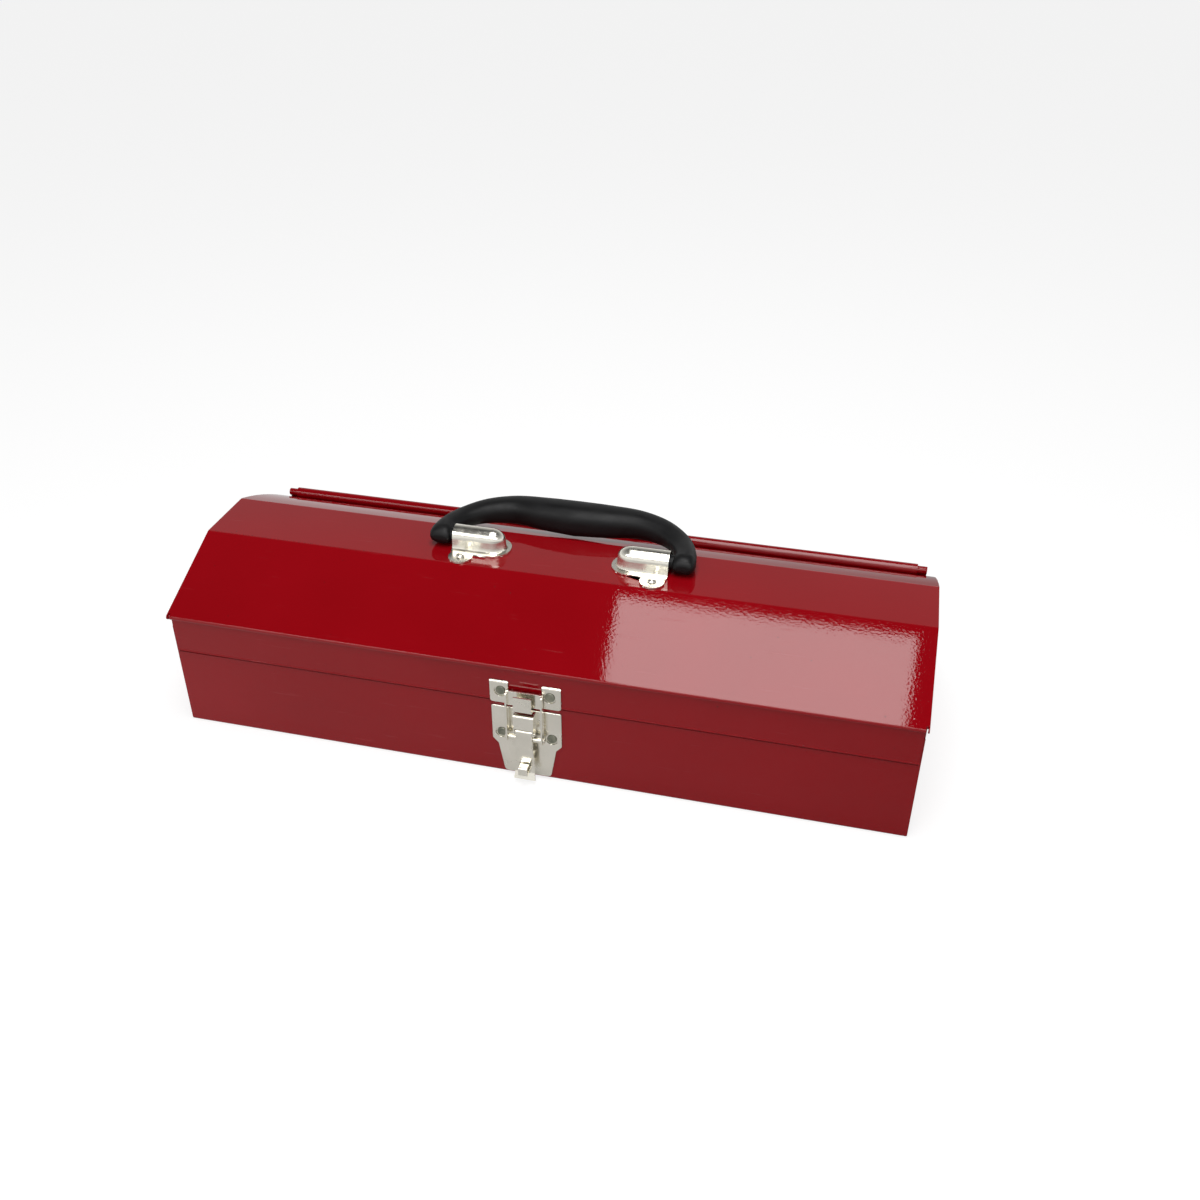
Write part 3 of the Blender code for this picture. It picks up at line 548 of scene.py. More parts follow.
def handle_bracket(side):
    """A domed shell on a flange with a tab in front and behind."""
    low = TOP_Z + GAP
    flange = rounded(
        [
            (BRACKET_OPEN_X, -BRACKET_HALF_WIDTH, 1.5),
            (BRACKET_OPEN_X, BRACKET_HALF_WIDTH, 1.5),
            (BRACKET_END_X, BRACKET_HALF_WIDTH, FLANGE_END_RADIUS),
            (BRACKET_END_X, -BRACKET_HALF_WIDTH, FLANGE_END_RADIUS),
        ]
    )
    plates = [prism(flange, "Z", low, low + BRACKET_PLATE)]
    for front in (-1, 1):
        tab = circle((TAB_X, front * TAB_Y), TAB_RADIUS)
        plates.append(prism(tab, "Z", low, low + BRACKET_PLATE))
    body = union(*plates, dome(BRACKET_DOME_RADIUS, BRACKET_OPEN_X, low))
    holes = [drill("Z", (TAB_X, front * TAB_Y), low - 1, low + 3) for front in (-1, 1)]
    inside = dome(BRACKET_DOME_RADIUS - BRACKET_PLATE, BRACKET_OPEN_X + 2, low - 1)
    return on_side(cut(body, inside, *holes), side)


def bracket_rivet(side, front):
    head = TOP_Z + 2 * GAP + BRACKET_PLATE
    under = TOP_Z - SHEET - GAP
    profile = [
        (head + 1.4, 0.9),
        (head + 1.1, 2.0),
        (head + 0.5, 2.8),
        (head, 3.1),
        (head, SHANK_RADIUS),
        (under, SHANK_RADIUS),
        (under, 3.0),
        (under - 1.0, 2.6),
    ]
    return turned(profile, "Z", (side * TAB_X, front * TAB_Y))


def spline(points, per_span):
    """Catmull-Rom points through rows of numbers."""
    rows = [Vector(row) for row in points]
    padded = [rows[0] * 2 - rows[1]] + rows + [rows[-1] * 2 - rows[-2]]
    smooth = []
    for i in range(len(rows) - 1):
        a, b, c, d = padded[i:i + 4]
        for step in range(per_span):
            t = step / per_span
            bend = (2 * a - 5 * b + 4 * c - d) * t ** 2 + (3 * b - a - 3 * c + d) * t ** 3
            smooth.append(0.5 * (2 * b + (c - a) * t + bend))
    return smooth + [rows[-1]]


def handle_grip():
    """A bowed grip, swollen in the middle, with a pivot pin running inward from each end."""
    half = [
        (0.0, 40.4, 12.2, 11.4),
        (22.0, 41.6, 11.4, 10.6),
        (43.0, 42.6, 9.6, 9.2),
        (61.0, 36.2, 8.6, 8.0),
        (74.0, 24.5, 7.9, 6.3),
        (80.5, 11.0, 7.3, 6.4),
        (81.9, 0.0, 7.7, 6.9),
    ]
    right = spline(half, GRIP_SPANS)
    line = [Vector((-row[0], *row[1:])) for row in right[:0:-1]] + right
    rings = []
    for i, row in enumerate(line):
        before = line[max(i - 1, 0)]
        after = line[min(i + 1, len(line) - 1)]
        along = Vector((after[0] - before[0], after[1] - before[1])).normalized()
        rings.append(handle_ring(row, along))
    tip = line[-1]
    for reach, width in ((3.8, 0.97), (5.9, 0.87), (6.9, 0.7), (7.18, 0.48)):
        height = math.sqrt(GRIP_END_RADIUS ** 2 - reach ** 2)
        rings.append(handle_ring(Vector((tip[0], -reach, tip[2] * width, height)), Vector((0, -1))))
        rings.insert(0, handle_ring(Vector((-tip[0], -reach, tip[2] * width, height)), Vector((0, 1))))
    grip = loft(rings)
    pins = [
        turned([(side * x, HANDLE_PIN_RADIUS) for x in HANDLE_PIN_SPAN], "X", (0, HANDLE_Z))
        for side in (-1, 1)
    ]
    return union(grip, *pins)


def squarish(value):
    """Takes a circle's sine or cosine to that of a slightly square round."""
    return math.copysign(abs(value) ** GRIP_SQUARENESS, value)


def handle_ring(row, along):
    """A squarish oval across the grip's middle line."""
    across = Vector((-along.y, along.x))
    ring = []
    for i in range(SIDES):
        turn = 2 * math.pi * (i + 0.5) / SIDES
        out = across * row[2] * squarish(math.cos(turn))
        ring.append((row[0] + out.x, row[1] + out.y, HANDLE_Z + row[3] * squarish(math.sin(turn))))
    return ring


# Latch

def keeper_plate():
    """Two ears joined by a bridge, whose tongue bends forward and up into a hook."""
    back, front = proud(KEEPER_PROUD), proud(KEEPER_PROUD + PLATE)
    face = rounded(
        [
            (-23.2, 58.3, 2.0),
            (23.2, 58.3, 2.0),
            (23.2, EAR_TOP_Z, 1.5),
            (10.7, EAR_TOP_Z, 1.5),
            (10.7, 66.0, 0.8),
            (-10.7, 66.0, 0.8),
            (-10.7, EAR_TOP_Z, 1.5),
            (-23.2, EAR_TOP_Z, 1.5),
        ]
    )
    tongue_sheet = 1.0
    root = proud(KEEPER_PROUD + 0.6)
    tip = proud(NOSE_PROUD - tongue_sheet / 2)
    low = NOSE_LOW_Z + tongue_sheet / 2
    path = rounded([(root, 63.0), (root, low, 1.2), (tip, low, 1.2), (tip, NOSE_TOP_Z)], closed=False)
    tongue = prism(bent_sheet(path, tongue_sheet), "X", -NOSE_HALF_WIDTH, NOSE_HALF_WIDTH)
    bend = (front + EAR_RADIUS, EAR_TOP_Z - EAR_RADIUS)
    above = EAR_TOP_Z + 1.0
    before = front - 1.0
    ear_top = arc(bend, EAR_RADIUS, 180, 90) + [(bend[0], above), (before, above), (before, bend[1])]
    plate = union(stamped(face, back, front, STAMP_RADIUS), tongue)
    return cut(plate, prism(ear_top, "X", -24.0, 24.0), *rivet_seats(KEEPER_RIVETS, front, back))


def rivet_seats(place, front, back):
    """A through hole and a shallow round recess for each of a plate's two rivets."""
    seats = []
    for centre in (place, (-place[0], place[1])):
        seats.append(turned([(front - 0.5, 4.3), (front + SEAT_DEPTH, 3.9)], "Y", centre))
        seats.append(drill("Y", centre, front - 1, back + 1))
    return seats


def rivet_face(head):
    """The flat front of a rivet's head, slightly dished."""
    return [(head - 0.2, 1.4), (head - 0.4, 2.6), (head - 0.3, 3.1), (head, 3.3)]


def keeper_rivet(side):
    """A flat head in the keeper's recess; the shank ends flush in the skirt."""
    head = proud(KEEPER_PROUD + PLATE - SEAT_DEPTH + GAP)
    profile = [*rivet_face(head), (head, SHANK_RADIUS), (proud(GAP + 0.1), SHANK_RADIUS)]
    return turned(profile, "Y", (side * KEEPER_RIVETS[0], KEEPER_RIVETS[1]))


def latch_base_plate():
    """The lower plate, tapered downwards, with the housing that carries the lever's pin."""
    back, front = proud(GAP), proud(GAP + PLATE)
    half = [(23.0, 55.0, 1.5), (23.0, 28.3, 1.0), (19.3, 24.3, 1.0), (15.5, 2.4, 3.0)]
    face = rounded([(-x, z, r) for x, z, r in half] + half[::-1])
    roof = rounded(
        [
            (proud(1.0), HOUSING_TOP_Z - 0.45),
            (proud(HOUSING_PROUD - 0.45), HOUSING_TOP_Z - 0.45, 1.3),
            (proud(HOUSING_PROUD - 0.45), HOUSING_LOW_Z),
        ],
        closed=False,
    )
    housing = [prism(bent_sheet(roof, 0.9), "X", -HOUSING_HALF_WIDTH, HOUSING_HALF_WIDTH)]
    pivot = (proud(LEVER_PROUD), LEVER_Z)
    cheek = [(proud(1.0), 53.6), (proud(1.0), 44.0)]
    cheek += arc(pivot, HOUSING_PROUD - LEVER_PROUD, 315, 180)
    cheek += [(proud(HOUSING_PROUD), 52.8), (proud(HOUSING_PROUD - 0.8), 53.6)]
    for side in (-1, 1):
        housing.append(on_side(prism(cheek, "X", HOUSING_HALF_WIDTH - 0.9, HOUSING_HALF_WIDTH), side))
    plate = union(stamped(face, back, front, STAMP_RADIUS), *housing)
    pin_hole = drill("X", pivot, -9, 9, HINGE_PIN_RADIUS + GAP)
    seats = rivet_seats(LATCH_RIVETS, front, back)
    return cut(plate, pin_hole, *seats, *staple_slots(front - 1, back + 1))


def latch_rivet(side):
    """A flat head in the lower plate's recess, clenched inside the front wall."""
    head = proud(GAP + PLATE - SEAT_DEPTH + GAP)
    inside = proud(-SHEET - GAP)
    profile = [
        *rivet_face(head),
        (head, SHANK_RADIUS),
        (inside, SHANK_RADIUS),
        (inside, 3.2),
        (inside + 0.9, 2.8),
    ]
    return turned(profile, "Y", (side * LATCH_RIVETS[0], LATCH_RIVETS[1]))


def staple_slots(front, back):
    """A slot for each leg of the padlock staple."""
    reach = STAPLE_HALF_WIDTH + GAP
    tall = PLATE / 2 + GAP
    return [prism(rectangle(-reach, z - tall, reach, z + tall), "Y", front, back) for z in STAPLE_LEGS_Z]


def padlock_staple():
    """A strap bent into a loop, its legs through the plate and wall and clenched behind."""
    behind = proud(-SHEET - GAP - PLATE / 2)
    outer = proud(STAPLE_PROUD - PLATE / 2)
    low, high = STAPLE_LEGS_Z
    path = rounded(
        [
            (behind, high + 4.0),
            (behind, high),
            (outer, high, 1.3),
            (outer, low, 1.3),
            (behind, low),
            (behind, low - 4.0),
        ],
        closed=False,
    )
    return prism(bent_sheet(path, PLATE), "X", -STAPLE_HALF_WIDTH, STAPLE_HALF_WIDTH)


def latch_lever():
    """A tapered face with two cheeks for its pins, a slot for the staple and a flared tip."""
    half_sheet = LEVER_SHEET / 2
    path = rounded(
        [
            (proud(6.4), LEVER_TOP_Z),
            (proud(8.6 - half_sheet), LEVER_TOP_Z, 1.3),
            (proud(7.4 - half_sheet), 18.0, 8.0),
            (proud(7.2 - half_sheet), 9.5, 5.0),
            (proud(9.6 - half_sheet), 4.0),
        ],
        closed=False,
    )
    front = rounded(
        [
            (-LEVER_HALF_WIDTH, 43.0),
            (-LEVER_HALF_WIDTH, 30.0, 10.0),
            (-6.3, 18.0, 10.0),
            (-6.4, 9.0, 6.0),
            (-7.3, 3.0, 0.6),
            (7.3, 3.0, 0.6),
            (6.4, 9.0, 6.0),
            (6.3, 18.0, 10.0),
            (LEVER_HALF_WIDTH, 30.0, 10.0),
            (LEVER_HALF_WIDTH, 43.0),
        ]
    )
    web = combine(
        prism(bent_sheet(path, LEVER_SHEET), "X", -9, 9),
        prism(front, "Y", proud(14), proud(4)),
        "INTERSECT",
    )
    pivot = (proud(LEVER_PROUD), LEVER_Z)
    pin = (proud(BAIL_PROUD), BAIL_Z)
    cheek = [(proud(8.2), 41.0)] + arc(pivot, 1.7, 80, 0) + arc(pin, 2.3, 20, -90)
    cheek += [(proud(5.6), 26.0), (proud(7.4), 24.0)]
    outer = LEVER_HALF_WIDTH - 0.1
    cheeks = [on_side(prism(cheek, "X", outer - LEVER_SHEET, outer), side) for side in (-1, 1)]
    slot = prism(rectangle(-3.5, 8.6, 3.5, 17.2, 1.0), "Y", proud(14), proud(4))
    return cut(
        union(web, *cheeks),
        slot,
        drill("X", pivot, -9, 9, HINGE_PIN_RADIUS + GAP),
        drill("X", pin, -9, 9, BAIL_PIN_RADIUS + GAP),
    )


def latch_hinge_pin():
    centre = (proud(LEVER_PROUD), LEVER_Z)
    end = HOUSING_HALF_WIDTH + GAP
    right = [(end, HINGE_PIN_RADIUS), (end, 1.5), (end + 0.5, 1.1)]
    left = [(-level, radius) for level, radius in right[::-1]]
    return turned(left + right, "X", centre)


def bail_pin(side):
    """A shouldered rivet through the lever's cheek and the bail's leg."""
    inner = LEVER_HALF_WIDTH - LEVER_SHEET - GAP
    leg = BAIL_LEG_OUT - PLATE
    profile = [
        (inner - 0.8, 1.5),
        (inner, 1.7),
        (inner, BAIL_PIN_RADIUS),
        (LEVER_HALF_WIDTH + GAP, BAIL_PIN_RADIUS),
        (LEVER_HALF_WIDTH + GAP, 1.8),
        (leg - GAP, 1.8),
        (leg - GAP, BAIL_PIN_RADIUS),
        (BAIL_LEG_OUT + GAP, BAIL_PIN_RADIUS),
        (BAIL_LEG_OUT + GAP, 2.0),
        (BAIL_LEG_OUT + GAP + 0.5, 1.7),
        (BAIL_LEG_OUT + GAP + 0.8, 1.0),
    ]
    return on_side(turned(profile, "X", (proud(BAIL_PROUD), BAIL_Z)), side)


def latch_bail():
    """A stirrup: a web behind the keeper's hook and a long leg down each side."""
    pin = (proud(BAIL_PROUD), BAIL_Z)
    back, front = proud(3.4), proud(6.8)
    leg = rounded([(back, 69.6, 1.0), (front, 69.2, 1.7), (front, 36.0)], closed=False)
    leg = leg[:-1] + arc(pin, 2.9, 150, 390) + [(back, 39.0), (back, 67.6)]
    legs = [on_side(prism(leg, "X", BAIL_LEG_OUT - PLATE, BAIL_LEG_OUT), side) for side in (-1, 1)]
    web = prism(rectangle(proud(4.6), 59.2, back, 69.8), "X", -11.2, 11.2)
    return cut(union(web, *legs), drill("X", pin, -14, 14, BAIL_PIN_RADIUS + GAP))


# Tray

def tray_pan():
    """A shallow dished pan with a thicker rolled rim."""
    def outline(grow):
        reach = TRAY_HALF_LENGTH + grow
        return rectangle(-reach, TRAY_FRONT - grow, reach, TRAY_BACK + grow, 4.0 + grow)

    rim_low = TRAY_RIM_Z - 4.0
    rings = [
        (0.0, TRAY_FLOOR_Z),
        (0.0, rim_low),
        (SHEET, rim_low),
        (SHEET, TRAY_RIM_Z),
        (-SHEET, TRAY_RIM_Z),
        (-SHEET, TRAY_FLOOR_Z + SHEET),
    ]
    return loft([[at("Z", level, a, b) for a, b in outline(grow)] for grow, level in rings])


def tray_handle():
    """A wire bow that lies flat on the tray's floor; its feet turn in the clips."""
    bends = [(TRAY_HANDLE_BEND_X, 0.0, 5.0), (TRAY_HANDLE_BEND_X, TRAY_HANDLE_ARM, 7.0)]
    corners = [(TRAY_HANDLE_FOOT_X, 0.0), *bends]
    corners += [(-a, b, r) for a, b, r in bends[::-1]]
    corners.append((-TRAY_HANDLE_FOOT_X, 0.0))
    path = rounded(corners, closed=False)
    left, right = offset(path, WIRE_RADIUS), offset(path, -WIRE_RADIUS)
    rings = []
    for (ax, ay), (bx, by) in zip(left, right):
        middle = Vector(((ax + bx) / 2, (ay + by) / 2))
        across = Vector((ax, ay)) - middle
        ring = []
        for i in range(WIRE_SIDES):
            turn = 2 * math.pi * i / WIRE_SIDES
            out = middle + across * math.cos(turn)
            ring.append((out.x, TRAY_HANDLE_Y + out.y, TRAY_HANDLE_Z + WIRE_RADIUS * math.sin(turn)))
        rings.append(ring)
    return loft(rings)


def tray_handle_clip(side):
    """A saddle over the wire with a foot in front and behind."""
    foot = TRAY_FLOOR_Z + SHEET + GAP + SHEET / 2
    reach = WIRE_RADIUS + 0.4 + SHEET / 2
    bow = arc((TRAY_HANDLE_Y, TRAY_HANDLE_Z), reach, 0, 180)
    path = [(TRAY_HANDLE_Y + 10, foot), (TRAY_HANDLE_Y + reach, foot)] + bow
    path += [(TRAY_HANDLE_Y - reach, foot), (TRAY_HANDLE_Y - 10, foot)]
    return on_side(prism(bent_sheet(path, SHEET), "X", 60.5, 67.5), side)


# Finishes

class Finish:
    """A material under construction: its nodes, its shader and the surface's own coordinates."""

    def __init__(self, name, roughness, metallic=0.0):
        self.material = bpy.data.materials.new(name)
        self.material.use_nodes = True
        self.tree = self.material.node_tree
        self.shader = self.tree.nodes["Principled BSDF"]
        self.shader.inputs["Roughness"].default_value = roughness
        self.shader.inputs["Metallic"].default_value = metallic
        self.place = self.node("ShaderNodeTexCoord").outputs["Object"]
        self.normal = None

    def node(self, kind, **values):
        made = self.tree.nodes.new(kind)
        for key, value in values.items():
            made.inputs[key].default_value = value
        return made

    def link(self, source, target):
        self.tree.links.new(source, target)

    def stretched(self, scale, turn=(0.0, 0.0, 0.0)):
        mapping = self.node("ShaderNodeMapping", Scale=scale, Rotation=turn)
        self.link(self.place, mapping.inputs["Vector"])
        return mapping.outputs["Vector"]

    def noise(self, scale, detail=2.0, roughness=0.5, place=None):
        made = self.node("ShaderNodeTexNoise", Scale=scale, Detail=detail, Roughness=roughness)
        self.link(place or self.place, made.inputs["Vector"])
        return made.outputs["Fac"]

    def ramp(self, source, *stops):
        """Colours or greys at places from 0 to 1."""
        made = self.tree.nodes.new("ShaderNodeValToRGB")
        elements = made.color_ramp.elements
        while len(elements) < len(stops):
            elements.new(0.5)
        for element, (position, value) in zip(elements, stops):
            element.position = position
            element.color = (*value, 1) if isinstance(value, tuple) else (value, value, value, 1)
        self.link(source, made.inputs["Fac"])
        return made.outputs["Color"]

    def blend(self, share, first, second):
        """The first colour where share is 0, the second where it is 1."""
        made = self.tree.nodes.new("ShaderNodeMix")
        made.data_type = "RGBA"
        self.link(share, made.inputs["Factor"])
        for value, socket in ((first, made.inputs["A"]), (second, made.inputs["B"])):
            if isinstance(value, tuple):
                socket.default_value = (*value, 1)
            else:
                self.link(value, socket)
        return made.outputs["Result"]

    def bump(self, height, depth):
        """Adds relief of this depth in metres to what is there already."""
        made = self.node("ShaderNodeBump", Distance=depth)
        self.link(height, made.inputs["Height"])
        if self.normal:
            self.link(self.normal, made.inputs["Normal"])
        self.normal = made.outputs["Normal"]
        self.link(self.normal, self.shader.inputs["Normal"])

    def colour(self, source):
        self.link(source, self.shader.inputs["Base Color"])

    def roughness(self, source):
        self.link(source, self.shader.inputs["Roughness"])


def enamel():
    """Gloss enamel on sheet steel: orange peel, slack in the panels, faint scuffs and specks."""
    paint = Finish("red_enamel", 0.1)
    cloud = paint.noise(9.0, 3.0)
    coat = paint.ramp(cloud, (0.3, (0.265, 0.0016, 0.0046)), (0.7, (0.3, 0.002, 0.006)))
    hairs = paint.noise(26.0, 4.0, 0.6, paint.stretched((1.0, 14.0, 14.0), (0.0, 0.5, 0.35)))
    scuff = paint.ramp(hairs, (0.66, 0.0), (0.74, 1.0))
    specks = paint.ramp(paint.noise(420.0, 1.0), (0.80, 0.0), (0.82, 1.0))
    paint.colour(paint.blend(specks, paint.blend(scuff, coat, (0.3, 0.012, 0.016)), (0.06, 0.01, 0.01)))
    haze = paint.ramp(paint.noise(34.0, 4.0), (0.35, 0.02), (0.7, 0.045))
    paint.roughness(paint.blend(scuff, haze, (0.2, 0.2, 0.2)))
    paint.shader.inputs["Specular IOR Level"].default_value = 0.36
    paint.bump(paint.noise(7.0, 1.0), 1.2e-4)
    paint.bump(paint.noise(620.0, 1.5), 1.3e-5)
    paint.bump(specks, 1.5e-5)
    return paint.material


def nickel():
    """Nickel plate with a soft rolled grain and handling marks."""
    plate = Finish("nickel_plate", 0.24, 1.0)
    tarnish = plate.ramp(plate.noise(60.0, 4.0), (0.35, (0.82, 0.79, 0.7)), (0.65, (0.89, 0.86, 0.77)))
    plate.colour(tarnish)
    grain = plate.noise(420.0, 3.0, 0.6, plate.stretched((1.0, 1.0, 0.15)))
    marks = plate.ramp(plate.noise(150.0, 5.0, 0.7), (0.4, 0.2), (0.72, 0.31))
    plate.roughness(marks)
    plate.bump(plate.noise(120.0, 2.0), 4e-6)
    plate.bump(grain, 5e-6)
    return plate.material


def recess_shaded_nickel():
    """Nickel on the flattened heads of the rivets, with a duller gloss; its dark colour is painted shade
    from the recesses the heads sit in.
    """
    head = Finish("recess_shaded_nickel", 0.35, 1.0)
    # Dark greys: painted shade of the rivet recesses.
    head.colour(head.ramp(head.noise(300.0, 3.0), (0.35, (0.2, 0.21, 0.165)), (0.65, (0.34, 0.34, 0.27))))
    head.roughness(head.ramp(head.noise(400.0, 3.0), (0.35, 0.28), (0.65, 0.42)))
    head.bump(head.noise(500.0, 2.0), 1e-5)
    return head.material


def moulding():
    """Black moulded plastic with a fine matt grain, rubbed smoother in patches."""
    grip = Finish("black_moulding", 0.5)
    pigment = grip.noise(45.0, 3.0)
    grip.colour(grip.ramp(pigment, (0.3, (0.003, 0.003, 0.0034)), (0.7, (0.006, 0.006, 0.0065))))
    grip.roughness(grip.ramp(grip.noise(90.0, 3.0), (0.3, 0.42), (0.7, 0.56)))
    grip.shader.inputs["Specular IOR Level"].default_value = 0.22
    grip.bump(grip.noise(900.0, 2.0), 2.2e-5)
    grip.bump(grip.noise(60.0, 2.0), 1e-4)
    return grip.material


def zinc():
    """Zinc-plated wire, slightly cloudy."""
    wire = Finish("zinc_plate", 0.35, 1.0)
    wire.colour(wire.ramp(wire.noise(160.0, 3.0), (0.35, (0.5, 0.5, 0.52)), (0.65, (0.62, 0.62, 0.63))))
    wire.roughness(wire.ramp(wire.noise(220.0, 3.0), (0.35, 0.28), (0.65, 0.45)))
    wire.bump(wire.noise(300.0, 2.0), 1e-5)
    return wire.material


FINISHES = {
    "red_paint": enamel(),
    "nickel": nickel(),
    "black_moulding": moulding(),
    "zinc_wire": zinc(),
}
# For the rivets in the recessed seats, darkened with painted shade.
RIVET_FINISH = recess_shaded_nickel()


# Placing

BODY_OF = {node: body for body, nodes in frame["record"]["behaviour"]["bodies"].items() for node in nodes}


def fitted(bm, low, high):
    """Moves and sizes the solid, in metres, to fill the box from low to high."""
    bmesh.ops.scale(bm, vec=(MM, MM, MM), verts=bm.verts)
    own_low = Vector([min(v.co[i] for v in bm.verts) for i in range(3)])
    own_high = Vector([max(v.co[i] for v in bm.verts) for i in range(3)])
    bmesh.ops.translate(bm, vec=-(own_low + own_high) / 2, verts=bm.verts)
    sizes = [(high[i] - low[i]) / (own_high[i] - own_low[i]) for i in range(3)]
    bmesh.ops.scale(bm, vec=sizes, verts=bm.verts)
    bmesh.ops.translate(bm, vec=(low + high) / 2, verts=bm.verts)


def dress(node, bm, slot, edge, finish=None):
    """Makes the solid the visible piece for a node, with its edges softened over a width in mm."""
    fitted(bm, *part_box(node))
    bmesh.ops.remove_doubles(bm, verts=bm.verts, dist=1e-6)
    bmesh.ops.dissolve_limit(bm, angle_limit=math.radians(0.3), verts=bm.verts, edges=bm.edges)
    mesh = bpy.data.meshes.new(node + "_finish")
    bm.to_mesh(mesh)
    bm.free()
    mesh.shade_smooth()
    mesh.materials.append(finish or FINISHES[slot])
    piece = bpy.data.objects.new(node + "_finish", mesh)
    bpy.context.scene.collection.objects.link(piece)
    soften(piece, edge)
    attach(piece, BODY_OF[node])
    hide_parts(node)


def soften(piece, edge):
    bevel = piece.modifiers.new("soft_edges", "BEVEL")
    bevel.width = edge * MM
    bevel.segments = EDGE_SEGMENTS
    bevel.limit_method = "ANGLE"
    bevel.angle_limit = math.radians(EDGE_ANGLE)
    bevel.miter_outer = "MITER_ARC"
    normals = piece.modifiers.new("flat_faces", "WEIGHTED_NORMAL")
    normals.keep_sharp = True


def dress_all():
    dress("base_shell", base_shell(), "red_paint", 0.2)
    dress("lid_shell", lid_shell(), "red_paint", 0.2)
    dress("handle_grip", handle_grip(), "black_moulding", 0.3)
    dress("keeper_plate", keeper_plate(), "nickel", 0.2)
    dress("latch_base_plate", latch_base_plate(), "nickel", 0.2)
    dress("padlock_staple", padlock_staple(), "nickel", 0.35)
    dress("latch_lever", latch_lever(), "nickel", 0.3)
    dress("latch_hinge_pin", latch_hinge_pin(), "nickel", 0.1)
    dress("latch_bail", latch_bail(), "nickel", 0.25)
    dress("tray_pan", tray_pan(), "red_paint", 0.3)
    dress("tray_handle", tray_handle(), "zinc_wire", 0.2)
    for name, side in (("left", -1), ("right", 1)):
        dress("end_plate_" + name, end_plate(side), "red_paint", 0.25)
        dress("tray_ledge_" + name, tray_ledge(side), "red_paint", 0.2)
        dress("handle_bracket_" + name, handle_bracket(side), "nickel", 0.4)
        dress("keeper_rivet_" + name, keeper_rivet(side), "nickel", 0.1, RIVET_FINISH)
        dress("latch_rivet_" + name, latch_rivet(side), "nickel", 0.1, RIVET_FINISH)
        dress("bail_pin_" + name, bail_pin(side), "nickel", 0.1)
        dress("tray_handle_clip_" + name, tray_handle_clip(side), "zinc_wire", 0.15)
        for place, front in (("front", -1), ("rear", 1)):
            dress(f"bracket_rivet_{name}_{place}", bracket_rivet(side, front), "nickel", 0.1)


# Studio

CAMERA_PLACE = (0.1848, -0.662, 0.5288)
CAMERA_YAW = -0.2348
CAMERA_PITCH = 0.5769
CAMERA_ROLL = 0.0058
CAMERA_LENS = 36.52
FLOOR_HALF = 12.0
FLOOR_DROP = 0.0002
SWEEP_HALF = 0.35


def camera():
    """A camera above the right-hand end, looking down and a little to the left."""
    ahead = Vector(
        (
            math.sin(CAMERA_YAW) * math.cos(CAMERA_PITCH),
            math.cos(CAMERA_YAW) * math.cos(CAMERA_PITCH),
            -math.sin(CAMERA_PITCH),
        )
    )
    level = Vector((math.cos(CAMERA_YAW), -math.sin(CAMERA_YAW), 0))
    upright = level.cross(ahead)
    right = level * math.cos(CAMERA_ROLL) + upright * math.sin(CAMERA_ROLL)
    up = upright * math.cos(CAMERA_ROLL) - level * math.sin(CAMERA_ROLL)
    data = bpy.data.cameras.new("camera")
    data.lens = CAMERA_LENS
    data.sensor_width = 36.0
    data.clip_start = 0.01
    data.clip_end = 50.0
    made = bpy.data.objects.new("camera", data)
    made.matrix_world = Matrix.Translation(CAMERA_PLACE) @ Matrix((right, up, -ahead)).transposed().to_4x4()
    bpy.context.scene.collection.objects.link(made)
    bpy.context.scene.camera = made


def softbox(name, place, size, power):
    """A rectangular light that points straight down."""
    data = bpy.data.lights.new(name, "AREA")
    data.shape = "RECTANGLE"
    data.size, data.size_y = size
    data.energy = power
    made = bpy.data.objects.new(name, data)
    made.location = place
    made.rotation_euler = Vector((0, 0, -1)).to_track_quat("-Z", "Y").to_euler()
    bpy.context.scene.collection.objects.link(made)
    return made


def surroundings():
    """A white studio low down, falling to a dark ceiling."""
    world = bpy.data.worlds.new("studio")
    bpy.context.scene.world = world
    world.use_nodes = True
    tree = world.node_tree
    split = tree.nodes.new("ShaderNodeSeparateXYZ")
    tree.links.new(tree.nodes.new("ShaderNodeTexCoord").outputs["Generated"], split.inputs["Vector"])
    ramp = tree.nodes.new("ShaderNodeValToRGB")
    elements = ramp.color_ramp.elements
    stops = [(0.0, 1.0), (0.2, 1.0), (0.38, 0.55), (0.62, 0.34), (0.85, 0.04), (1.0, 0.02)]
    while len(elements) < len(stops):
        elements.new(0.5)
    for element, (position, grey) in zip(elements, stops):
        element.position = position
        element.color = (grey, grey, grey, 1)
    tree.links.new(split.outputs["Z"], ramp.inputs["Fac"])
    tree.links.new(ramp.outputs["Color"], tree.nodes["Background"].inputs["Color"])


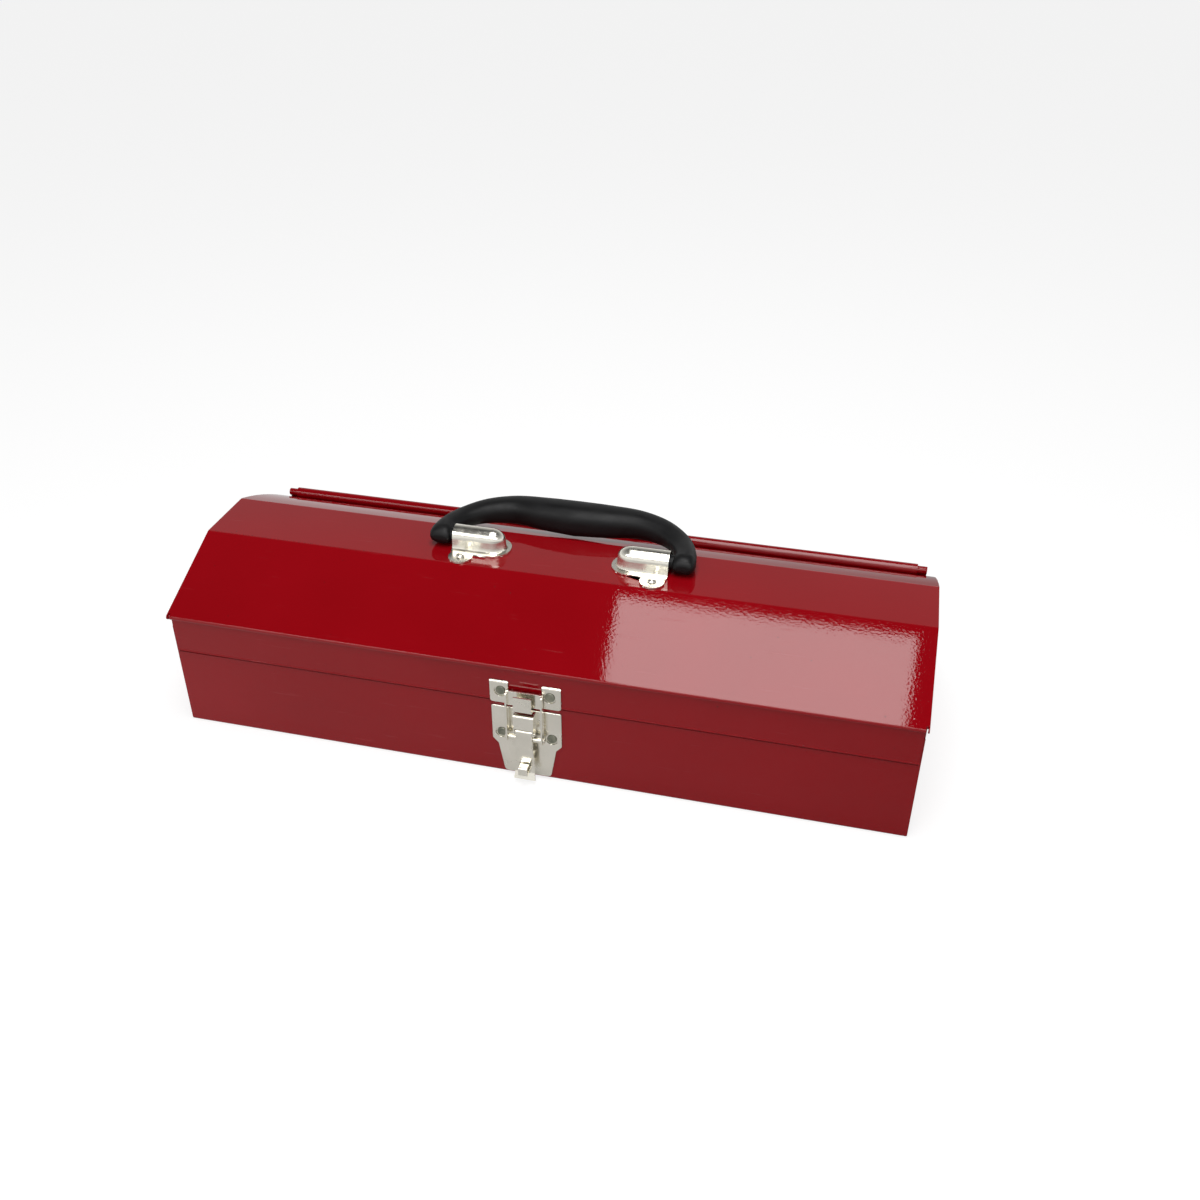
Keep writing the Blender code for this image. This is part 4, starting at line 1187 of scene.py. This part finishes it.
def ranged(tree, source, start, end):
    """A node that maps one range of numbers to another."""
    made = tree.nodes.new("ShaderNodeMapRange")
    made.inputs["From Min"].default_value, made.inputs["From Max"].default_value = start
    made.inputs["To Min"].default_value, made.inputs["To Max"].default_value = end
    tree.links.new(source, made.inputs["Value"])
    return made


def studio_floor():
    """A plain pale floor that takes a faint shadow; it glows, and the glow that shows in the gloss of the
    walls is painted reflection that fades towards the right.
    """
    reach = FLOOR_HALF
    bm = bmesh.new()
    corners = [(-reach, -reach, 0), (reach, -reach, 0), (reach, reach, 0), (-reach, reach, 0)]
    bm.faces.new([bm.verts.new(corner) for corner in corners])
    mesh = bpy.data.meshes.new("floor")
    bm.to_mesh(mesh)
    bm.free()
    material = bpy.data.materials.new("pale_floor")
    material.use_nodes = True
    tree = material.node_tree
    shader = tree.nodes["Principled BSDF"]
    shader.inputs["Base Color"].default_value = (0.3, 0.3, 0.3, 1)
    shader.inputs["Roughness"].default_value = 1.0
    shader.inputs["Specular IOR Level"].default_value = 0.0
    shader.inputs["Emission Color"].default_value = (1, 1, 1, 1)
    split = tree.nodes.new("ShaderNodeSeparateXYZ")
    tree.links.new(tree.nodes.new("ShaderNodeTexCoord").outputs["Object"], split.inputs["Vector"])
    # Painted reflection: the floor's glow as seen from the box fades from 0.46 at the left to 0.08 at the
    # right, while the camera sees it evenly at 0.8.
    reflection_fade = ranged(tree, split.outputs["X"], (-SWEEP_HALF, SWEEP_HALF), (0.46, 0.08))
    path = tree.nodes.new("ShaderNodeLightPath")
    glow = ranged(tree, path.outputs["Is Camera Ray"], (0.0, 1.0), (0.0, 0.8))
    tree.links.new(reflection_fade.outputs["Result"], glow.inputs["To Min"])
    tree.links.new(glow.outputs["Result"], shader.inputs["Emission Strength"])
    mesh.materials.append(material)
    floor = bpy.data.objects.new("floor", mesh)
    bpy.context.scene.collection.objects.link(floor)
    floor.location.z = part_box("base_shell")[0].z - FLOOR_DROP


def studio():
    camera()
    surroundings()
    studio_floor()
    softbox("overhead", (0.07, -0.37, 1.2), (0.455, 1.05), 11.5)
    sheen = softbox("front_strip", (0.05, -1.35, 1.2), (2.4, 0.75), 27.0)
    sheen.visible_diffuse = False
    bpy.context.scene.view_settings.view_transform = "Standard"


dress_all()
studio()
